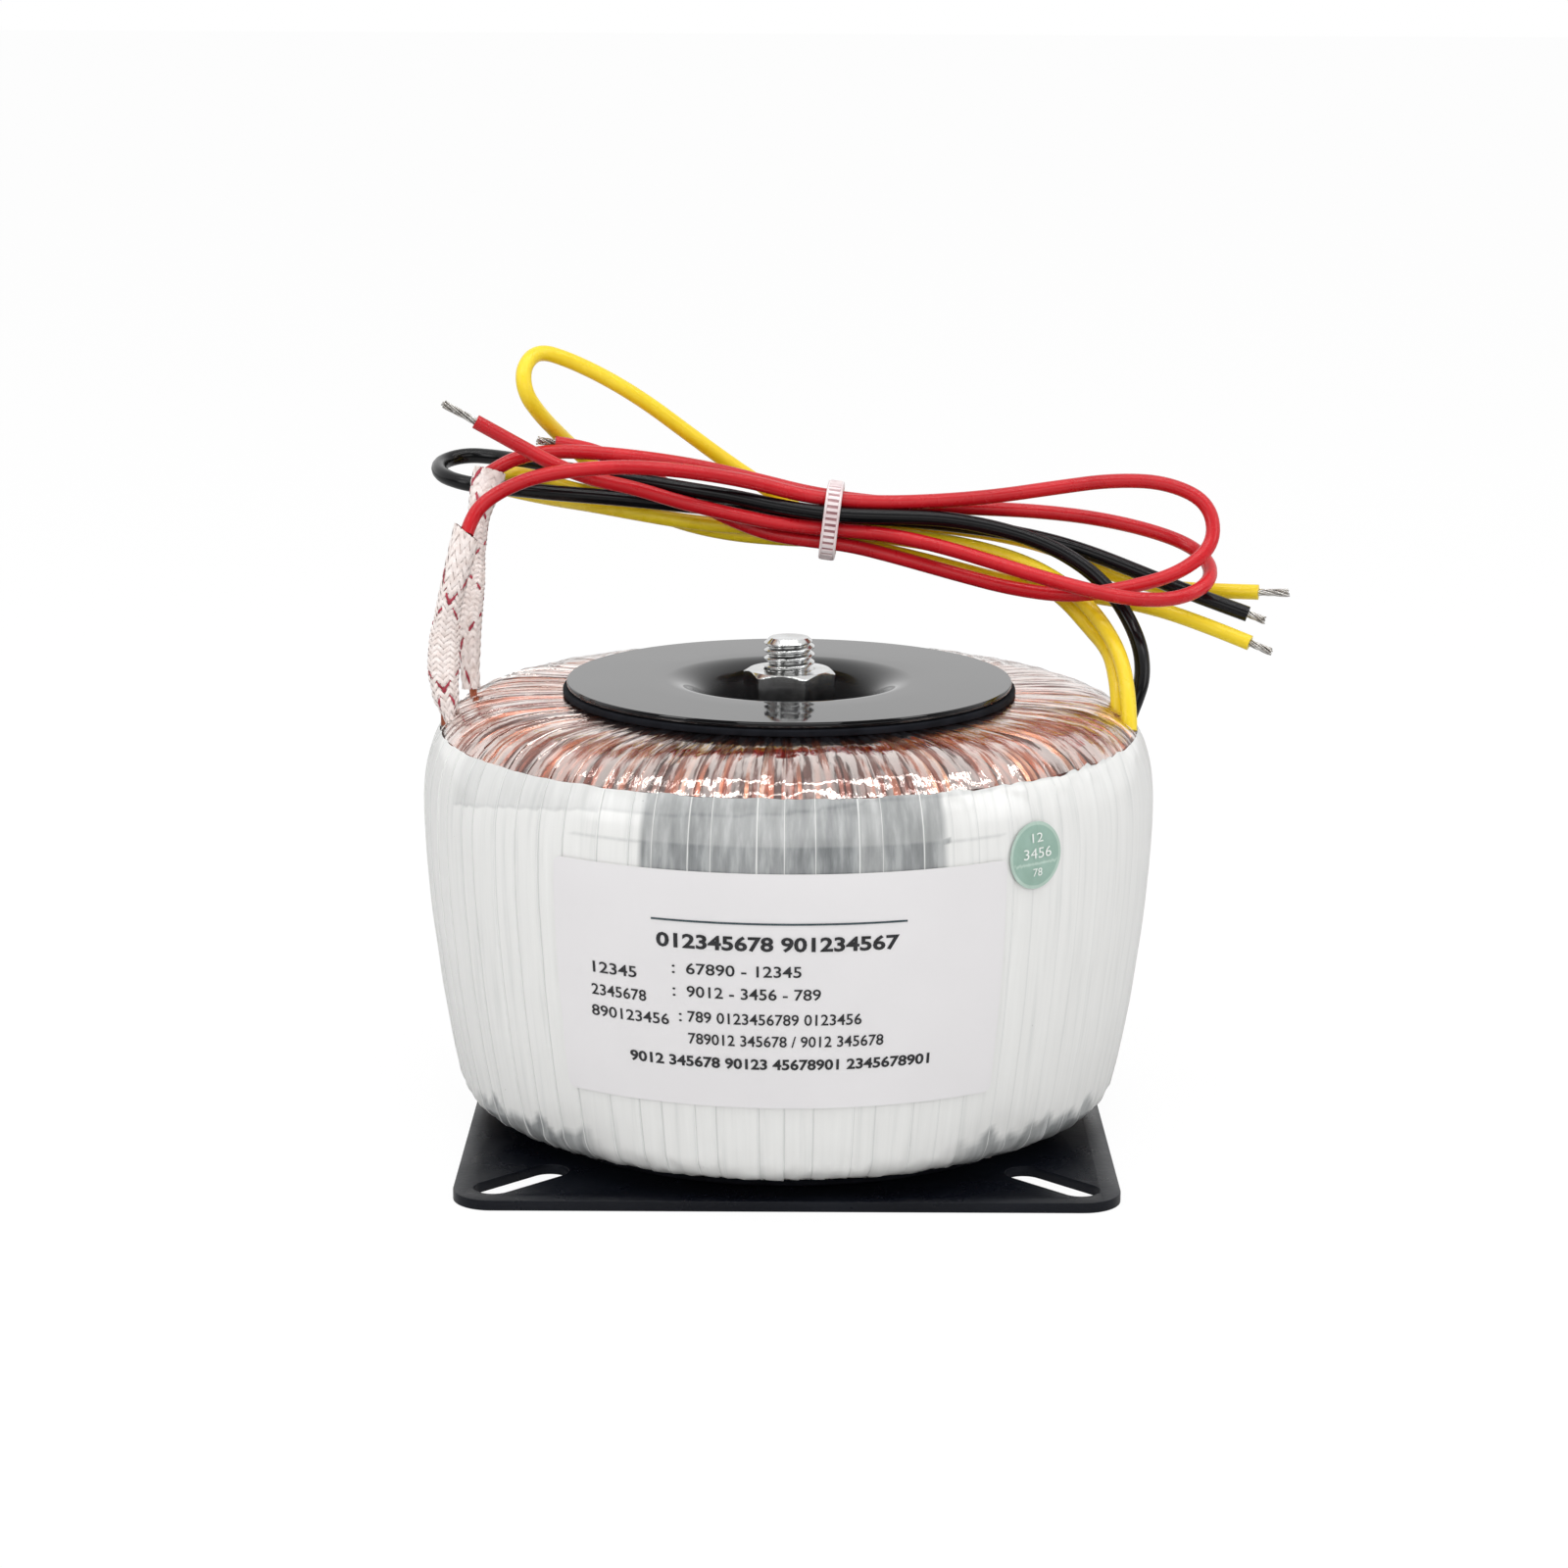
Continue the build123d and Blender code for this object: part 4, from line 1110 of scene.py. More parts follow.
def make_sticker(material, ink):
    """Round paper with a fold down its middle, a pale border and a line across."""
    rings, spokes = 26, 72
    vertices = [(0.0, 0.0)]
    for ring in range(1, rings + 1):
        for spoke in range(spokes):
            angle = 2 * math.pi * spoke / spokes
            reach = STICKER_RADIUS * ring / rings
            vertices.append((reach * math.cos(angle), reach * math.sin(angle)))
    field = []
    placed = []
    radius = skin_radius(STICKER_LEVEL) + LABEL_LIFT
    for across, up in vertices:
        crease = 0.16 * math.exp(-((across - 0.35 + 0.1 * math.sin(up)) / 0.22) ** 2)
        lift = LABEL_LIFT + 0.14 + crease
        angle = math.radians(STICKER_TURN) + across / radius
        placed.append(on_side(angle, STICKER_LEVEL + up, lift))
        reach = math.hypot(across, up)
        inside = 1.0 if reach < STICKER_RADIUS - 0.45 else 0.0
        if abs(up + 1.25) < 0.16 and reach < STICKER_RADIUS - 0.6:
            inside = 0.0
        field.append(inside)
    faces = [(0, 1 + spoke, 1 + (spoke + 1) % spokes) for spoke in range(spokes)]
    faces += grid_faces(rings, spokes, offset=1)
    made = mesh_object("round_sticker", placed, faces, [material], 60)
    store(made.data, "field", field)
    face_away_from_axis(made.data)
    seat(made, "sticker_green", "inspection_sticker")
    digits = []
    shapes = []
    for row in STICKER_ROWS:
        points, outlines = printed_number(*row)
        start = len(digits)
        for across, up in points:
            digits.append(on_side(math.radians(STICKER_TURN) + across / radius, STICKER_LEVEL + up,
                                  LABEL_LIFT + 0.33))
        shapes += [tuple(start + index for index in outline) for outline in outlines]
    numbers = mesh_object("sticker_numbers", digits, shapes, [ink], 60)
    face_away_from_axis(numbers.data)
    return seat(numbers, "sticker_green")


# Clamp

def make_dish(material):
    rim_inset = 0.1
    bore = BOLT_RADIUS + 0.25
    top = rounded(
        [(DISH_RADIUS - rim_inset, DISH_RIM_TOP), (DISH_FUNNEL, DISH_RIM_TOP),
         (DISH_FLOOR_RADIUS, DISH_FLOOR), (bore, DISH_FLOOR)],
        [DISH_ROLL, DISH_FLOOR_ROLL], 14,
    )
    slope = math.atan2(DISH_RIM_TOP - DISH_FLOOR, DISH_FUNNEL - DISH_FLOOR_RADIUS)
    spread = DISH_SHEET * math.tan(slope / 2)
    under = rounded(
        [(DISH_RADIUS - rim_inset, DISH_RIM_TOP - DISH_SHEET),
         (DISH_FUNNEL + spread, DISH_RIM_TOP - DISH_SHEET),
         (DISH_FLOOR_RADIUS + spread, DISH_FLOOR - DISH_SHEET), (bore, DISH_FLOOR - DISH_SHEET)],
        [DISH_ROLL - DISH_SHEET, DISH_FLOOR_ROLL + DISH_SHEET], 14,
    )
    rim = [
        (DISH_RADIUS, DISH_RIM_TOP - DISH_SHEET + 0.15), (DISH_RADIUS, DISH_RIM_TOP - 0.15),
    ]
    flat_top = [(33.0 - 2.4 * step, DISH_RIM_TOP) for step in range(5)]
    profile = [tuple(point) for point in reversed(under)] + rim + [tuple(top[0])] + flat_top
    profile += [tuple(point) for point in top[1:]]
    made = turned("dished_clamp", profile, 160, [material], smooth_angle=35)
    down = []
    for vertex in made.data.vertices:
        reach = math.hypot(vertex.co.x, vertex.co.y) / MM
        down.append(min(1.0, max(0.0, (WELL_MOUTH - reach) / (WELL_MOUTH - WELL_RADIUS))))
    store(made.data, "well", down)
    return seat(made, "dish_black", "dished_washer")


def hexagon(low, high, turn, chamfer_low, chamfer_high, bore=0.0):
    """Hexagon with its corners turned off, as (vertices, faces)."""
    columns = 96
    flat = ACROSS_FLATS / 2
    corner = flat / math.cos(math.radians(30)) - 0.14
    fall = (corner - flat) * math.tan(math.radians(30)) * 1.25
    inner = bore if bore else 0.02
    levels = [(low, "in")]
    steps = 8
    if chamfer_low:
        levels += [(low + fall * step / steps, "low") for step in range(steps)]
    levels += [(low + fall, "side"), ((low + high) / 2, "side"), (high - fall, "side")]
    if chamfer_high:
        levels += [(high - fall * (steps - 1 - step) / steps, "high") for step in range(steps)]
    else:
        levels.append((high, "side"))
    if not chamfer_low:
        levels.insert(1, (low, "side"))
    levels.append((high, "in"))
    vertices = []
    for level, kind in levels:
        for column in range(columns):
            angle = 2 * math.pi * column / columns
            local = (math.degrees(angle) + 30) % 60 - 30
            reach = min(flat / math.cos(math.radians(local)), corner)
            if kind == "low":
                reach = min(reach, flat - 0.1 + (level - low) / fall * (corner - flat + 0.1))
            if kind == "high":
                reach = min(reach, flat - 0.1 + (high - level) / fall * (corner - flat + 0.1))
            if kind == "in":
                reach = inner
            heading = angle + math.radians(turn)
            vertices.append((reach * math.cos(heading), reach * math.sin(heading), level))
    return vertices, grid_faces(len(levels), columns, close_rows=True)


def make_nut(material):
    vertices, faces = hexagon(NUT_LOW, NUT_HIGH, NUT_TURN, True, True, BOLT_RADIUS + 0.03)
    made = mesh_object("clamp_nut", vertices, faces, [material], 30)
    face_outwards(made.data)
    made.data.set_sharp_from_angle(angle=math.radians(24))
    return seat(made, "zinc", "hex_nut")


def make_bolt(material):
    """Head, plain shank and rolled thread, with a turned-down end."""
    columns = 48
    vertices, faces = hexagon(HEAD_LOW, HEAD_SEAT, 0, True, False)
    rows = [(HEAD_SEAT, False), (THREAD_START, False)]
    steps_per_turn = 14
    level = THREAD_START
    while level < BOLT_END - 1e-6:
        rows.append((level, True))
        level += THREAD_PITCH / steps_per_turn
    rows.append((BOLT_END, True))
    start = len(vertices)
    for level, threaded in rows:
        for column in range(columns):
            angle = 2 * math.pi * column / columns
            reach = BOLT_RADIUS
            if threaded:
                phase = ((level - THREAD_START) / THREAD_PITCH - column / columns) % 1.0
                wave = abs(phase - 0.5) * 2
                wave = min(1.0, max(0.0, (wave - 0.12) / 0.72))
                reach -= THREAD_DEPTH * wave * min(1.0, (level - THREAD_START) / THREAD_PITCH)
                reach = min(reach, BOLT_RADIUS - 0.95 + (BOLT_END - level) * 1.1)
            vertices.append((reach * math.cos(angle), reach * math.sin(angle), level))
    for reach, level in ((BOLT_RADIUS - 1.0, BOLT_END), (0.02, BOLT_END)):
        for column in range(columns):
            angle = 2 * math.pi * column / columns
            vertices.append((reach * math.cos(angle), reach * math.sin(angle), level))
    faces += grid_faces(len(rows) + 2, columns, offset=start)
    made = mesh_object("threaded_bolt", vertices, faces, [material], 40)
    face_outwards(made.data)
    made.data.set_sharp_from_angle(angle=math.radians(40))
    return seat(made, "zinc", "clamp_bolt")


# Leads, bare ends, sleeves and tie

def route_curve(name, route):
    """Smooth line with the route's points as its control points."""
    curve = bpy.data.curves.new(name, "CURVE")
    curve.dimensions = "3D"
    spline = curve.splines.new("NURBS")
    spline.points.add(len(route) - 1)
    for point, (x, y, z) in zip(spline.points, route):
        point.co = (x * MM, y * MM, z * MM, 1)
    spline.order_u = 3
    spline.use_endpoint_u = True
    spline.resolution_u = 8
    made = bpy.data.objects.new(name, curve)
    bpy.context.scene.collection.objects.link(made)
    return made


def route_line(route):
    """Points along a route's smooth line, in millimetres."""
    made = route_curve("line", route)
    mesh = plain_mesh(made)
    drop(made)
    line = [vertex.co / MM for vertex in mesh.vertices]
    bpy.data.meshes.remove(mesh)
    return line


def make_lead(name, material, slot):
    diameter, _, _, route = LEADS[name]
    made = route_curve(name + "_insulation", route)
    made.data.bevel_depth = diameter / 2 * MM
    made.data.bevel_resolution = 5
    made.data.use_fill_caps = True
    made.data.materials.append(material)
    return seat(made, slot, name + "_lead")


def frames_along(line, side=Vector((1, 0, 0))):
    """Along, across and out at each point, carried without twist."""
    frames = []
    for index, here in enumerate(line):
        along = (line[min(index + 1, len(line) - 1)] - line[max(index - 1, 0)]).normalized()
        side = (side - along * along.dot(side)).normalized()
        frames.append((here, along, side, along.cross(side)))
    return frames


def tube_faces(vertices, faces, line, radius, sides):
    start = len(vertices)
    for here, along, side, other in frames_along(line):
        for step in range(sides):
            angle = 2 * math.pi * step / sides
            vertices.append(here + side * math.cos(angle) * radius + other * math.sin(angle) * radius)
    faces += grid_faces(len(line), sides, offset=start)
    faces.append(tuple(start + step for step in reversed(range(sides))))
    last = start + (len(line) - 1) * sides
    faces.append(tuple(last + step for step in range(sides)))


def make_bare_end(name, material):
    """Twisted tinned strands that fan a little at their cut ends."""
    _, _, strip, route = LEADS[name]
    rng = random.Random(sum(ord(letter) for letter in name))
    end = Vector(route[-1])
    along = (end - Vector(route[-2])).normalized()
    side = along.orthogonal().normalized()
    other = along.cross(side)
    vertices = []
    faces = []
    strand = 0.21
    steps = 12
    for index in range(13):
        ring = 0.0 if index == 0 else (0.24 if index < 5 else 0.46)
        phase = index * 2.4
        splay = rng.uniform(0.0, 0.32)
        reach = strip - rng.uniform(0.0, 0.5)
        line = []
        for step in range(steps + 1):
            share = step / steps
            angle = phase + share * 2.6
            out = ring * (1 + splay * share ** 3 * 1.4)
            line.append(end + along * (-0.4 + (reach + 0.4) * share)
                        + side * math.cos(angle) * out + other * math.sin(angle) * out)
        tube_faces(vertices, faces, line, strand / 2 + 0.02, 8)
    made = mesh_object(name + "_strands", vertices, faces, [material], 50)
    face_outwards(made.data)
    return seat(made, "tinned_strands", name + "_bare_end")


def make_tail(name, foot, node, material):
    """Enamelled winding end that runs up inside its sleeve."""
    line = route_line(foot)
    vertices = []
    faces = []
    tube_faces(vertices, faces, line, 0.6, 16)
    made = mesh_object(name, vertices, faces, [material], 50)
    face_outwards(made.data)
    store(made.data, "turn_tone", [0.55] * len(made.data.vertices))
    return seat(made, "copper", node)


def sleeve_radius(share, widths):
    """Half width at a share of the length, from a list of evenly spaced widths."""
    spot = share * (len(widths) - 1)
    index = min(int(spot), len(widths) - 2)
    blend = spot - index
    blend = blend * blend * (3 - 2 * blend)
    return (widths[index] * (1 - blend) + widths[index + 1] * blend) / 2


def make_sleeve(name, route, widths, node, gap_shade_tube, white, tracer, mouth_slant, traces):
    """Braided sleeve: ribbons of yarn that pass over and under each other round a darker tube that paints the
    shade between them.
    """
    line = route_line(route)
    frames = frames_along(line)
    total = sum((b - a).length for a, b in zip(line, line[1:]))

    def spot_at(share, angle, lift):
        position = max(0.0, min(1.0, share)) * (len(frames) - 1)
        index = min(int(position), len(frames) - 2)
        blend = position - index
        here, along, side, other = frames[index]
        after = frames[index + 1]
        half = sleeve_radius(share, widths)
        depth = SLEEVE_DEPTH / 2 * (0.75 + 0.25 * math.sin(share * 9))
        centre = here * (1 - blend) + after[0] * blend
        across = (side * (1 - blend) + after[2] * blend).normalized()
        out = (other * (1 - blend) + after[3] * blend).normalized()
        wrinkle = 0.1 * noise.noise(Vector((angle * 1.5, share * 14, 2)))
        slant = mouth_slant * math.cos(angle) * share ** 6
        place = centre + across * math.cos(angle) * (half + lift + wrinkle)
        place += out * math.sin(angle) * (depth + lift + wrinkle)
        return place + along * slant

    vertices = []
    faces = []
    kinds = []
    rows, columns = 60, 32
    for row in range(rows + 1):
        for column in range(columns):
            vertices.append(spot_at(row / rows, 2 * math.pi * column / columns, -0.1))
    faces += grid_faces(rows + 1, columns)
    kinds += [0] * len(faces)
    around = math.pi * (sleeve_radius(0.5, widths) + SLEEVE_DEPTH / 2)
    turns = total / around / BRAID_STRETCH
    samples = int(turns * YARN_PAIRS * 2 * 4)
    for hand in (1, -1):
        for yarn in range(YARN_PAIRS):
            colour = 2 if yarn in traces[hand] else 1
            breadth = TRACER_WIDTH if colour == 2 else YARN_WIDTH
            first = len(vertices)
            for step in range(samples + 1):
                share = step / samples
                angle = 2 * math.pi * (yarn / YARN_PAIRS + hand * turns * share)
                weave = math.cos(math.pi * share * turns * YARN_PAIRS + (0 if yarn % 2 else math.pi))
                over = 0.11 * hand * weave
                half_share = breadth / 2 / total * 0.72
                half_angle = breadth / 2 / around * 2 * math.pi * 0.72
                for edge, crown in ((-1, 0.0), (0, 0.09), (1, 0.0)):
                    vertices.append(spot_at(
                        share - edge * half_share * hand, angle + edge * half_angle, over + crown + 0.03
                    ))
            for step in range(samples):
                for edge in range(2):
                    a = first + step * 3 + edge
                    faces.append((a, a + 1, a + 4, a + 3))
                    kinds.append(colour)
    made = mesh_object(name, vertices, faces, [gap_shade_tube, white, tracer], 60)
    for polygon, kind in zip(made.data.polygons, kinds):
        polygon.material_index = kind
    return seat(made, "braid_white", node)


def tie_matrix():
    along = Vector(TIE_DIRECTION).normalized()
    across = Vector((0, 1, 0))
    across = (across - along * along.dot(across)).normalized()
    up = along.cross(across)
    turn = Matrix((across, up, along)).transposed().to_4x4()
    return Matrix.Translation(Vector(TIE_CENTRE) * MM) @ turn


def rounded_loop(half_width, half_height, radius, steps=8):
    loop = []
    for sign_x, sign_y, start in ((1, 1, 0), (-1, 1, 90), (-1, -1, 180), (1, -1, 270)):
        centre = Vector((sign_x * (half_width - radius), sign_y * (half_height - radius)))
        for step in range(steps + 1):
            angle = math.radians(start + 90 * step / steps)
            loop.append(centre + Vector((math.cos(angle), math.sin(angle))) * radius)
    return loop


def ridges_tree(material):
    """Small bars across the strap at even steps."""
    tree, start, end = nodes_tree("tie_ridges", [
        ("Step", "NodeSocketFloat"), ("Bar", "NodeSocketVector"),
    ])
    loop = add_node(tree, "GeometryNodeMeshToCurve")
    spaced = add_node(tree, "GeometryNodeResampleCurve", {"mode": "LENGTH"})
    tangent = add_node(tree, "GeometryNodeInputTangent")
    turn = add_node(tree, "FunctionNodeAlignRotationToVector", {"axis": "X", "pivot_axis": "Z"})
    bar = add_node(tree, "GeometryNodeMeshCube")
    laid = add_node(tree, "GeometryNodeInstanceOnPoints")
    real = add_node(tree, "GeometryNodeRealizeInstances")
    coloured = add_node(tree, "GeometryNodeSetMaterial", values={"Material": material})
    join(
        tree,
        (start, "Mesh", loop, "Mesh"), (loop, "Curve", spaced, "Curve"),
        (start, "Step", spaced, "Length"), (tangent, "Tangent", turn, "Vector"),
        (start, "Bar", bar, "Size"), (spaced, "Curve", laid, "Points"),
        (bar, "Mesh", laid, "Instance"), (turn, "Rotation", laid, "Rotation"),
        (laid, "Instances", real, "Geometry"), (real, "Geometry", coloured, "Geometry"),
        (coloured, "Geometry", end, "Mesh"),
    )
    return tree


def make_tie(material, gap):
    """Strap with side rails and ladder ridges, closed head and cut tail at the back."""
    half_width = TIE_INSIDE_WIDTH / 2
    half_height = TIE_INSIDE_HEIGHT / 2
    vertices = []
    faces = []
    section = [
        (0.0, -0.5), (0.0, 0.5), (0.62, 0.5), (TIE_STRAP, 0.44), (TIE_STRAP, 0.36), (0.6, 0.33),
        (0.6, -0.33), (TIE_STRAP, -0.36), (TIE_STRAP, -0.44), (0.62, -0.5),
    ]
    loops = []
    for lift, share in section:
        ring = rounded_loop(half_width + lift, half_height + lift, TIE_CORNER + lift)
        loops.append([(spot.x, spot.y, share * TIE_WIDTH) for spot in ring])
    count = len(loops[0])
    for ring in loops:
        vertices += ring
    faces += grid_faces(len(loops), count, close_rows=True)
    strap = mesh_object("strap", vertices, faces, [material, gap], 30)
    # The middle strip between the rails takes the painted shade of the gap finish
    for polygon in strap.data.polygons:
        row = polygon.index // count
        polygon.material_index = 1 if row == GAP_ROW else 0
    ring = rounded_loop(half_width + 0.68, half_height + 0.68, TIE_CORNER + 0.68)
    path = bpy.data.meshes.new("ridge_path")
    path.from_pydata(
        [(spot.x * MM, spot.y * MM, 0) for spot in ring],
        [(index, (index + 1) % len(ring)) for index in range(len(ring))], [],
    )
    carrier = bpy.data.objects.new("ridge_path", path)
    bpy.context.scene.collection.objects.link(carrier)
    ridges = run_tree(carrier, ridges_tree(material), {
        "Step": TIE_RIDGE_STEP * MM,
        "Bar": (0.52 * MM, 0.44 * MM, 1.8 * MM),
    })
    work = bmesh.new()
    work.from_mesh(strap.data)
    work.from_mesh(ridges)
    work.faces.ensure_lookup_table()
    for face in work.faces[len(strap.data.polygons):]:
        face.material_index = 0
    for size, centre in (
        ((4.6, 5.4, 4.6), (half_width + 0.6 + 2.3, 0, 0)),
        ((0.9, 2.4, 2.6), (half_width + 3.1, 3.6, 0)),
    ):
        made = bmesh.ops.create_cube(work, size=1.0)
        shape = Matrix.Translation(Vector(centre) * MM) @ Matrix.Diagonal((*[side * MM for side in size], 1))
        bmesh.ops.transform(work, matrix=shape, verts=made["verts"])
        sides = {edge for vertex in made["verts"] for edge in vertex.link_edges}
        bmesh.ops.bevel(work, geom=list(sides), offset=0.35 * MM, segments=3, affect="EDGES", profile=0.6)
    mesh = bpy.data.meshes.new("nylon_tie")
    bmesh.ops.recalc_face_normals(work, faces=work.faces)
    work.to_mesh(mesh)
    work.free()
    drop(strap)
    mesh.materials.append(material)
    mesh.materials.append(gap)
    mesh.transform(tie_matrix())
    return seat(object_from("nylon_tie", mesh, 35), "nylon", "cable_tie")


# Room

LAMP_TARGET = (0, 0, 0.06)
# Name, place, size and power
LAMPS = (
    ("lamp_top", (0.0, -0.02, 0.95), (1.5, 0.05), 2.2),
    ("lamp_shoulder", (0.0, -0.37, 0.91), (1.5, 0.05), 2.2),
    ("lamp_left", (-0.9, -0.5, 0.5), (0.3, 0.5), 1.5),
    ("lamp_right", (0.9, -0.4, 0.5), (0.3, 0.5), 1.3),
    ("lamp_low", (0.0, -1.2, 0.5), (1.2, 0.5), 3.2),
)
FLOOR_REACH = 12.0


def floor_material():
    """Matt pale floor, lifted to white for the camera apart from the object's shadow."""
    material = bpy.data.materials.new("floor_paper")
    material.use_nodes = True
    nodes = material.node_tree.nodes
    nodes.remove(nodes["Principled BSDF"])
    matt = add_node(material, "ShaderNodeBsdfDiffuse", values={"Color": grey(0.62)})
    glow = add_node(material, "ShaderNodeEmission", values={"Strength": 1.06})
    ray = add_node(material, "ShaderNodeLightPath")
    share = add_node(material, "ShaderNodeMath", {"operation": "MULTIPLY"}, {1: 0.88})
    mix = add_node(material, "ShaderNodeMixShader")
    join(
        material, (ray, "Is Camera Ray", share, 0), (share, "Value", mix, "Fac"), (matt, "BSDF", mix, 1),
        (glow, "Emission", mix, 2), (mix, "Shader", nodes["Material Output"], "Surface"),
    )
    return material


def make_floor():
    reach = FLOOR_REACH
    corners = [(-reach, -reach, 0), (reach, -reach, 0), (reach, reach, 0), (-reach, reach, 0)]
    floor = bpy.data.meshes.new("floor")
    floor.from_pydata(corners, [], [(0, 1, 2, 3)])
    floor.materials.append(floor_material())
    ground = bpy.data.objects.new("floor", floor)
    bpy.context.scene.collection.objects.link(ground)


def make_world():
    """White to the camera, soft on the object, and darker low down in what gloss reflects."""
    world = bpy.data.worlds.new("surround")
    bpy.context.scene.world = world
    world.use_nodes = True
    nodes = world.node_tree.nodes
    soft = nodes["Background"]
    soft.inputs["Strength"].default_value = 0.66
    soft.inputs["Color"].default_value = grey(1.0)
    white = add_node(world, "ShaderNodeBackground", values={"Color": grey(1.0)})
    shine = add_node(world, "ShaderNodeBackground")
    direction = add_node(world, "ShaderNodeTexCoord")
    split = add_node(world, "ShaderNodeSeparateXYZ")
    ahead = add_node(world, "ShaderNodeMath", {"operation": "MULTIPLY_ADD"}, {1: 0.8})
    join(
        world, (direction, "Generated", split, "Vector"), (split, "Y", ahead, 0), (split, "Z", ahead, 2)
    )
    height = ramp(world, ahead, "Value", [(0.0, grey(0.1)), (0.3, grey(1.0))])
    ray = add_node(world, "ShaderNodeLightPath")
    seen = add_node(world, "ShaderNodeMath", {"operation": "MAXIMUM"})
    first = add_node(world, "ShaderNodeMixShader")
    second = add_node(world, "ShaderNodeMixShader")
    join(
        world, (height, "Color", shine, "Color"), (ray, "Is Glossy Ray", first, "Fac"),
        (soft, "Background", first, 1), (shine, "Background", first, 2), (ray, "Is Camera Ray", seen, 0),
        (ray, "Is Transmission Ray", seen, 1), (seen, "Value", second, "Fac"),
        (first, "Shader", second, 1), (white, "Background", second, 2),
        (second, "Shader", nodes["World Output"], "Surface"),
    )


def make_lamps():
    for name, place, size, power in LAMPS:
        light = bpy.data.lights.new(name, "AREA")
        light.shape = "RECTANGLE"
        light.size, light.size_y = size
        light.energy = power
        lamp = bpy.data.objects.new(name, light)
        bpy.context.scene.collection.objects.link(lamp)
        turn = (Vector(LAMP_TARGET) - Vector(place)).to_track_quat("-Z", "Y")
        lamp.matrix_world = Matrix.Translation(place) @ turn.to_matrix().to_4x4()


# The object

make_camera()

strands = grained(
    "tinned_copper", linear(196, 194, 190), 0.24, linear(158, 152, 146), linear(222, 220, 216), (700, 3),
    (1800, 2, 0.2, 0.0001), Metallic=1.0,
)
copper = copper_enamel()
red = lead_vinyl("red_vinyl", linear(184, 14, 26), linear(206, 28, 38))
yellow = lead_vinyl("yellow_vinyl", linear(238, 204, 30), linear(247, 218, 46))
black = lead_vinyl("black_vinyl", linear(8, 8, 10), linear(13, 13, 16), 0.2, 0.26)
tie_nylon = grained(
    "tie_nylon", linear(240, 226, 226), 0.32, linear(232, 208, 210), linear(248, 238, 238), (300, 3),
    (700, 2, 0.1, 0.0002), Coat_Weight=0.3, Coat_Roughness=0.2,
)
# Thin nylon between the tie's ridges: darker colour painted for the shade there and for the leads seen
# through it
tie_gap_shade = grained(
    "tie_gap_shade", linear(176, 128, 130), 0.4, linear(146, 92, 98), linear(206, 168, 170), (260, 4)
)
lead_finish = {
    "front_red": (red, "lead_red"), "rear_red": (red, "lead_red"), "black": (black, "lead_black"),
    "front_yellow": (yellow, "lead_yellow"), "rear_yellow": (yellow, "lead_yellow"),
}
leads = {name: make_lead(name, *lead_finish[name]) for name in LEADS}
bare = {name: make_bare_end(name, strands) for name in LEADS}
# Painted shade: darker tube under the yarns, seen in the gaps between them
gap_shade_tube = braid_yarn("braid_gap_shade", linear(150, 126, 120), linear(176, 154, 146))
white_yarn = braid_yarn("white_yarn", linear(234, 220, 214), linear(250, 240, 236))
red_yarn = braid_yarn("red_yarn", linear(150, 40, 58), linear(186, 62, 80))
front_sleeve = make_sleeve(
    "front_braid", FRONT_SLEEVE, [0.9, 3.9, 4.7, 4.5, 3.8, 3.7, 4.1], "front_sleeve", gap_shade_tube, white_yarn,
    red_yarn, -0.9, {1: (6,), -1: (1,)},
)
rear_sleeve = make_sleeve(
    "rear_braid", REAR_SLEEVE, [2.6, 3.7, 3.5, 2.9, 3.1, 4.9], "rear_sleeve", gap_shade_tube, white_yarn, red_yarn,
    0.0, {1: (5,), -1: (11,)},
)
front_tail = make_tail(
    "front_tail", [(-53.9, -4.9, 64.2), (-54.0, -4.1, 73.4), (-53.4, -3.2, 82.0), (-50.6, -1.9, 93.0)],
    "front_winding_tail", copper,
)
rear_tail = make_tail(
    "rear_tail", [(-49.8, 2.2, 65.6), (-50.7, 3.0, 75.0), (-49.7, 6.4, 90.0), (-48.6, 10.8, 101.0)],
    "rear_winding_tail", copper,
)
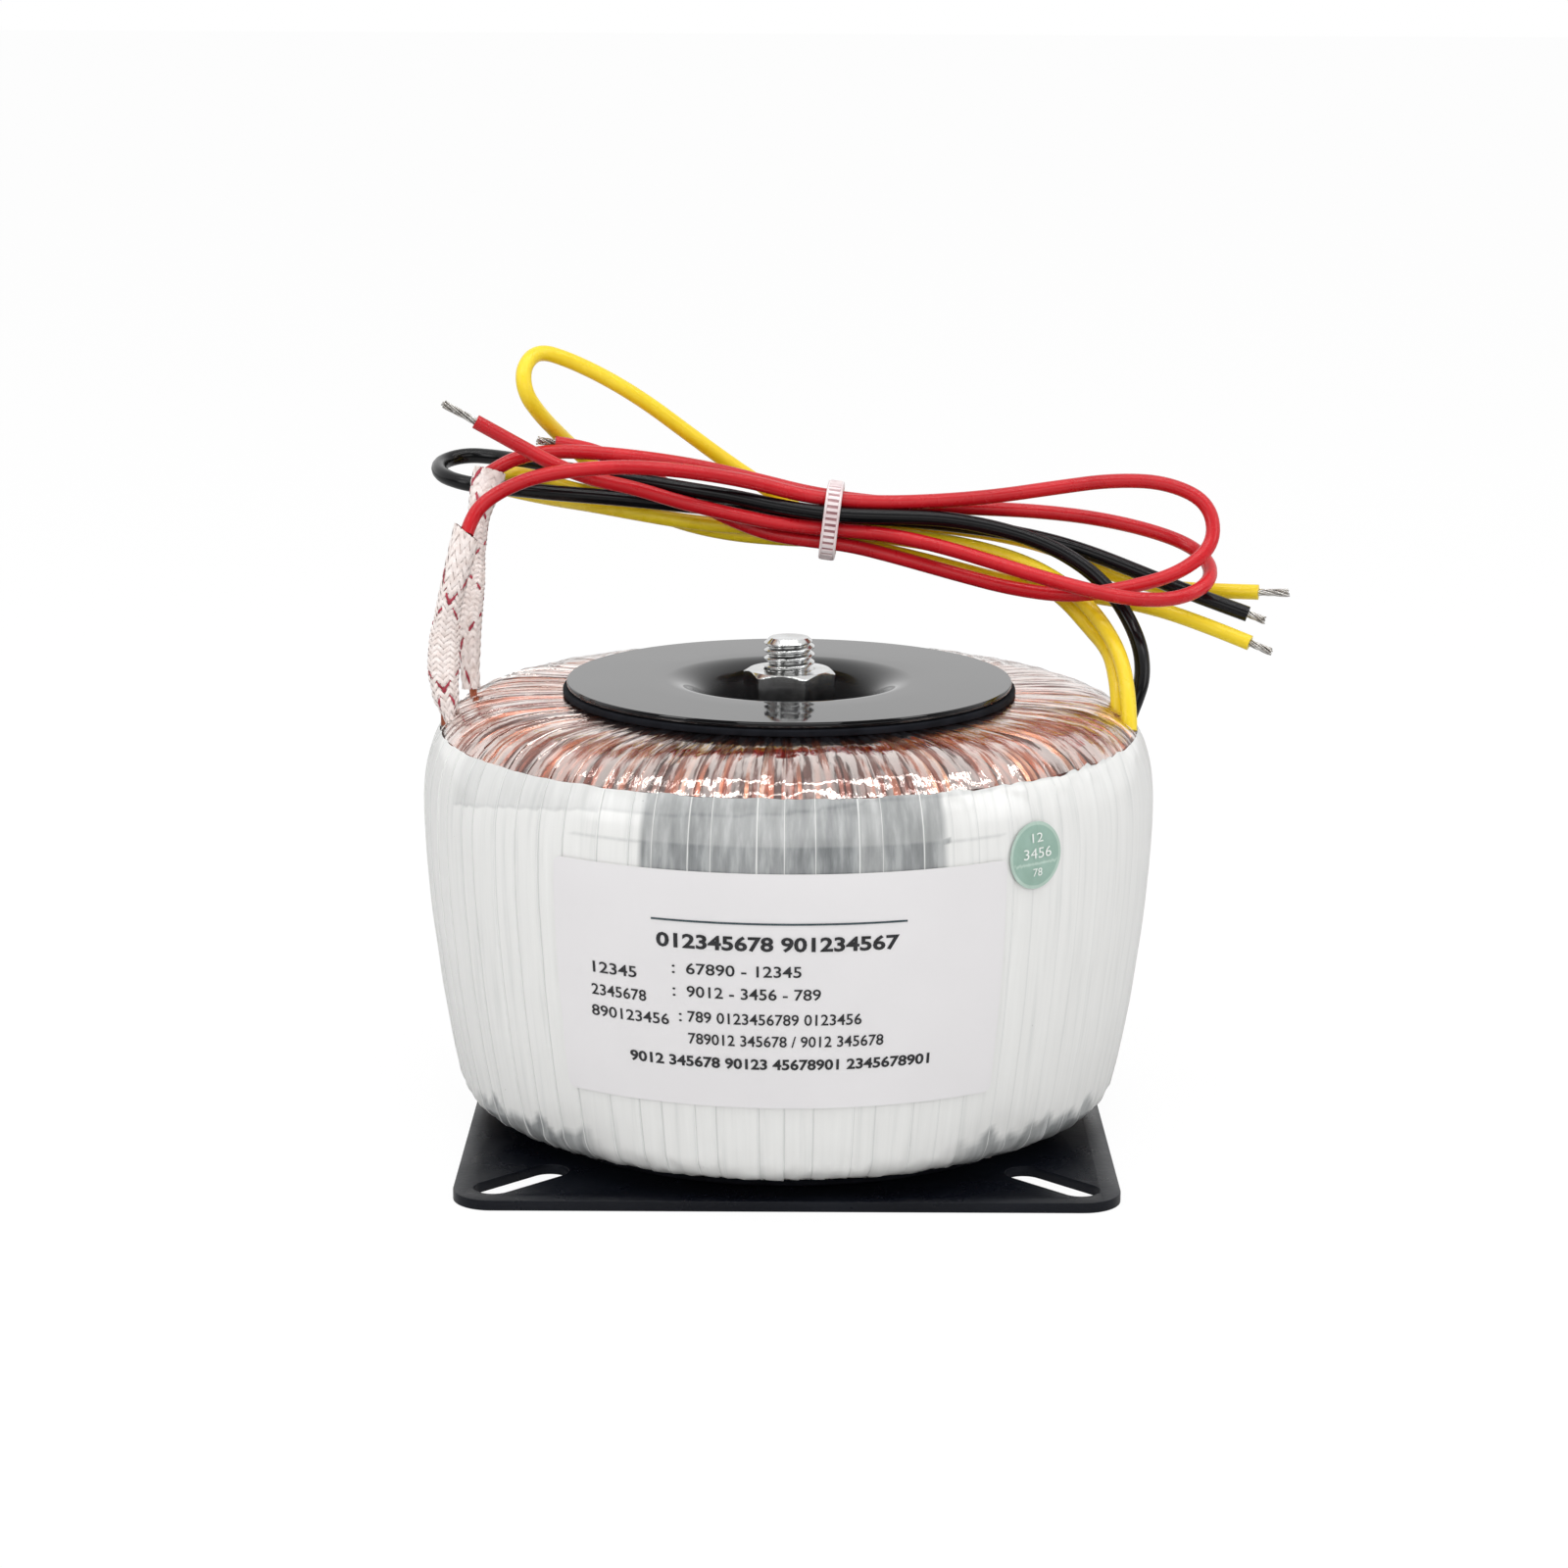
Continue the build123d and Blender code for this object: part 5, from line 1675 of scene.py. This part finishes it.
tie = make_tie(tie_nylon, tie_gap_shade)

paint = plate_paint()
rubber = grained(
    "pad_rubber", linear(20, 22, 28), 0.75, linear(14, 16, 21), linear(28, 30, 36), (260, 4),
    (900, 4, 0.3, 0.0002), Specular_IOR_Level=0.1,
)
zinc = zinc_plate()
softened_copy("base_plate", "mounting_plate", paint, "plate_black", 0.3)
softened_copy("base_pad", "lower_pad", rubber, "rubber_black", 0.3)
softened_copy("top_pad", "upper_pad", rubber, "rubber_black", 0.25)
softened_copy("flat_washer", "flat_zinc_washer", zinc, "zinc", 0.15)
softened_copy("spring_washer", "split_zinc_washer", zinc, "zinc", 0.15)
make_dish(dish_enamel())
make_nut(zinc)
make_bolt(zinc)
# Painted shade: dark sheet under the turns that stands for the shade between them
shadow = grained(
    "winding_shadow", linear(74, 38, 32), 0.5, linear(52, 26, 24), linear(104, 58, 48), (300, 4)
)
make_winding(copper, shadow)
make_film(clear_film())
make_band(white_band_tape())
paper = grained(
    "label_paper", linear(229, 227, 228), 0.42, linear(226, 224, 225), linear(232, 230, 231), (25, 3),
    (60, 2, 0.06, 0.0006), Coat_Weight=0.2, Coat_Roughness=0.25,
)
make_label(paper)
print_ink = grained(
    "print_ink", linear(24, 24, 27), 0.5, linear(18, 18, 20), linear(44, 44, 48), (900, 2)
)
rule_ink = grained(
    "rule_ink", linear(52, 68, 74), 0.5, linear(44, 60, 66), linear(70, 84, 90), (900, 2)
)
make_print(print_ink, rule_ink)
make_sticker(sticker_paper(), finish("sticker_ink", linear(236, 240, 236), 0.5))
amber = grained(
    "tape_amber", linear(210, 180, 96), 0.35, linear(196, 164, 80), linear(222, 196, 118), (140, 4),
    (240, 4, 0.2, 0.0003), Coat_Weight=0.4,
)
for node, material in (
    ("core", core_strip()), ("core_insulation", amber), ("winding_insulation", amber),
    ("primary_winding", shadow),
):
    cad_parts[node].data.materials.clear()
    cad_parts[node].data.materials.append(material)

make_floor()
make_world()
make_lamps()
bpy.context.scene.view_settings.view_transform = "Standard"
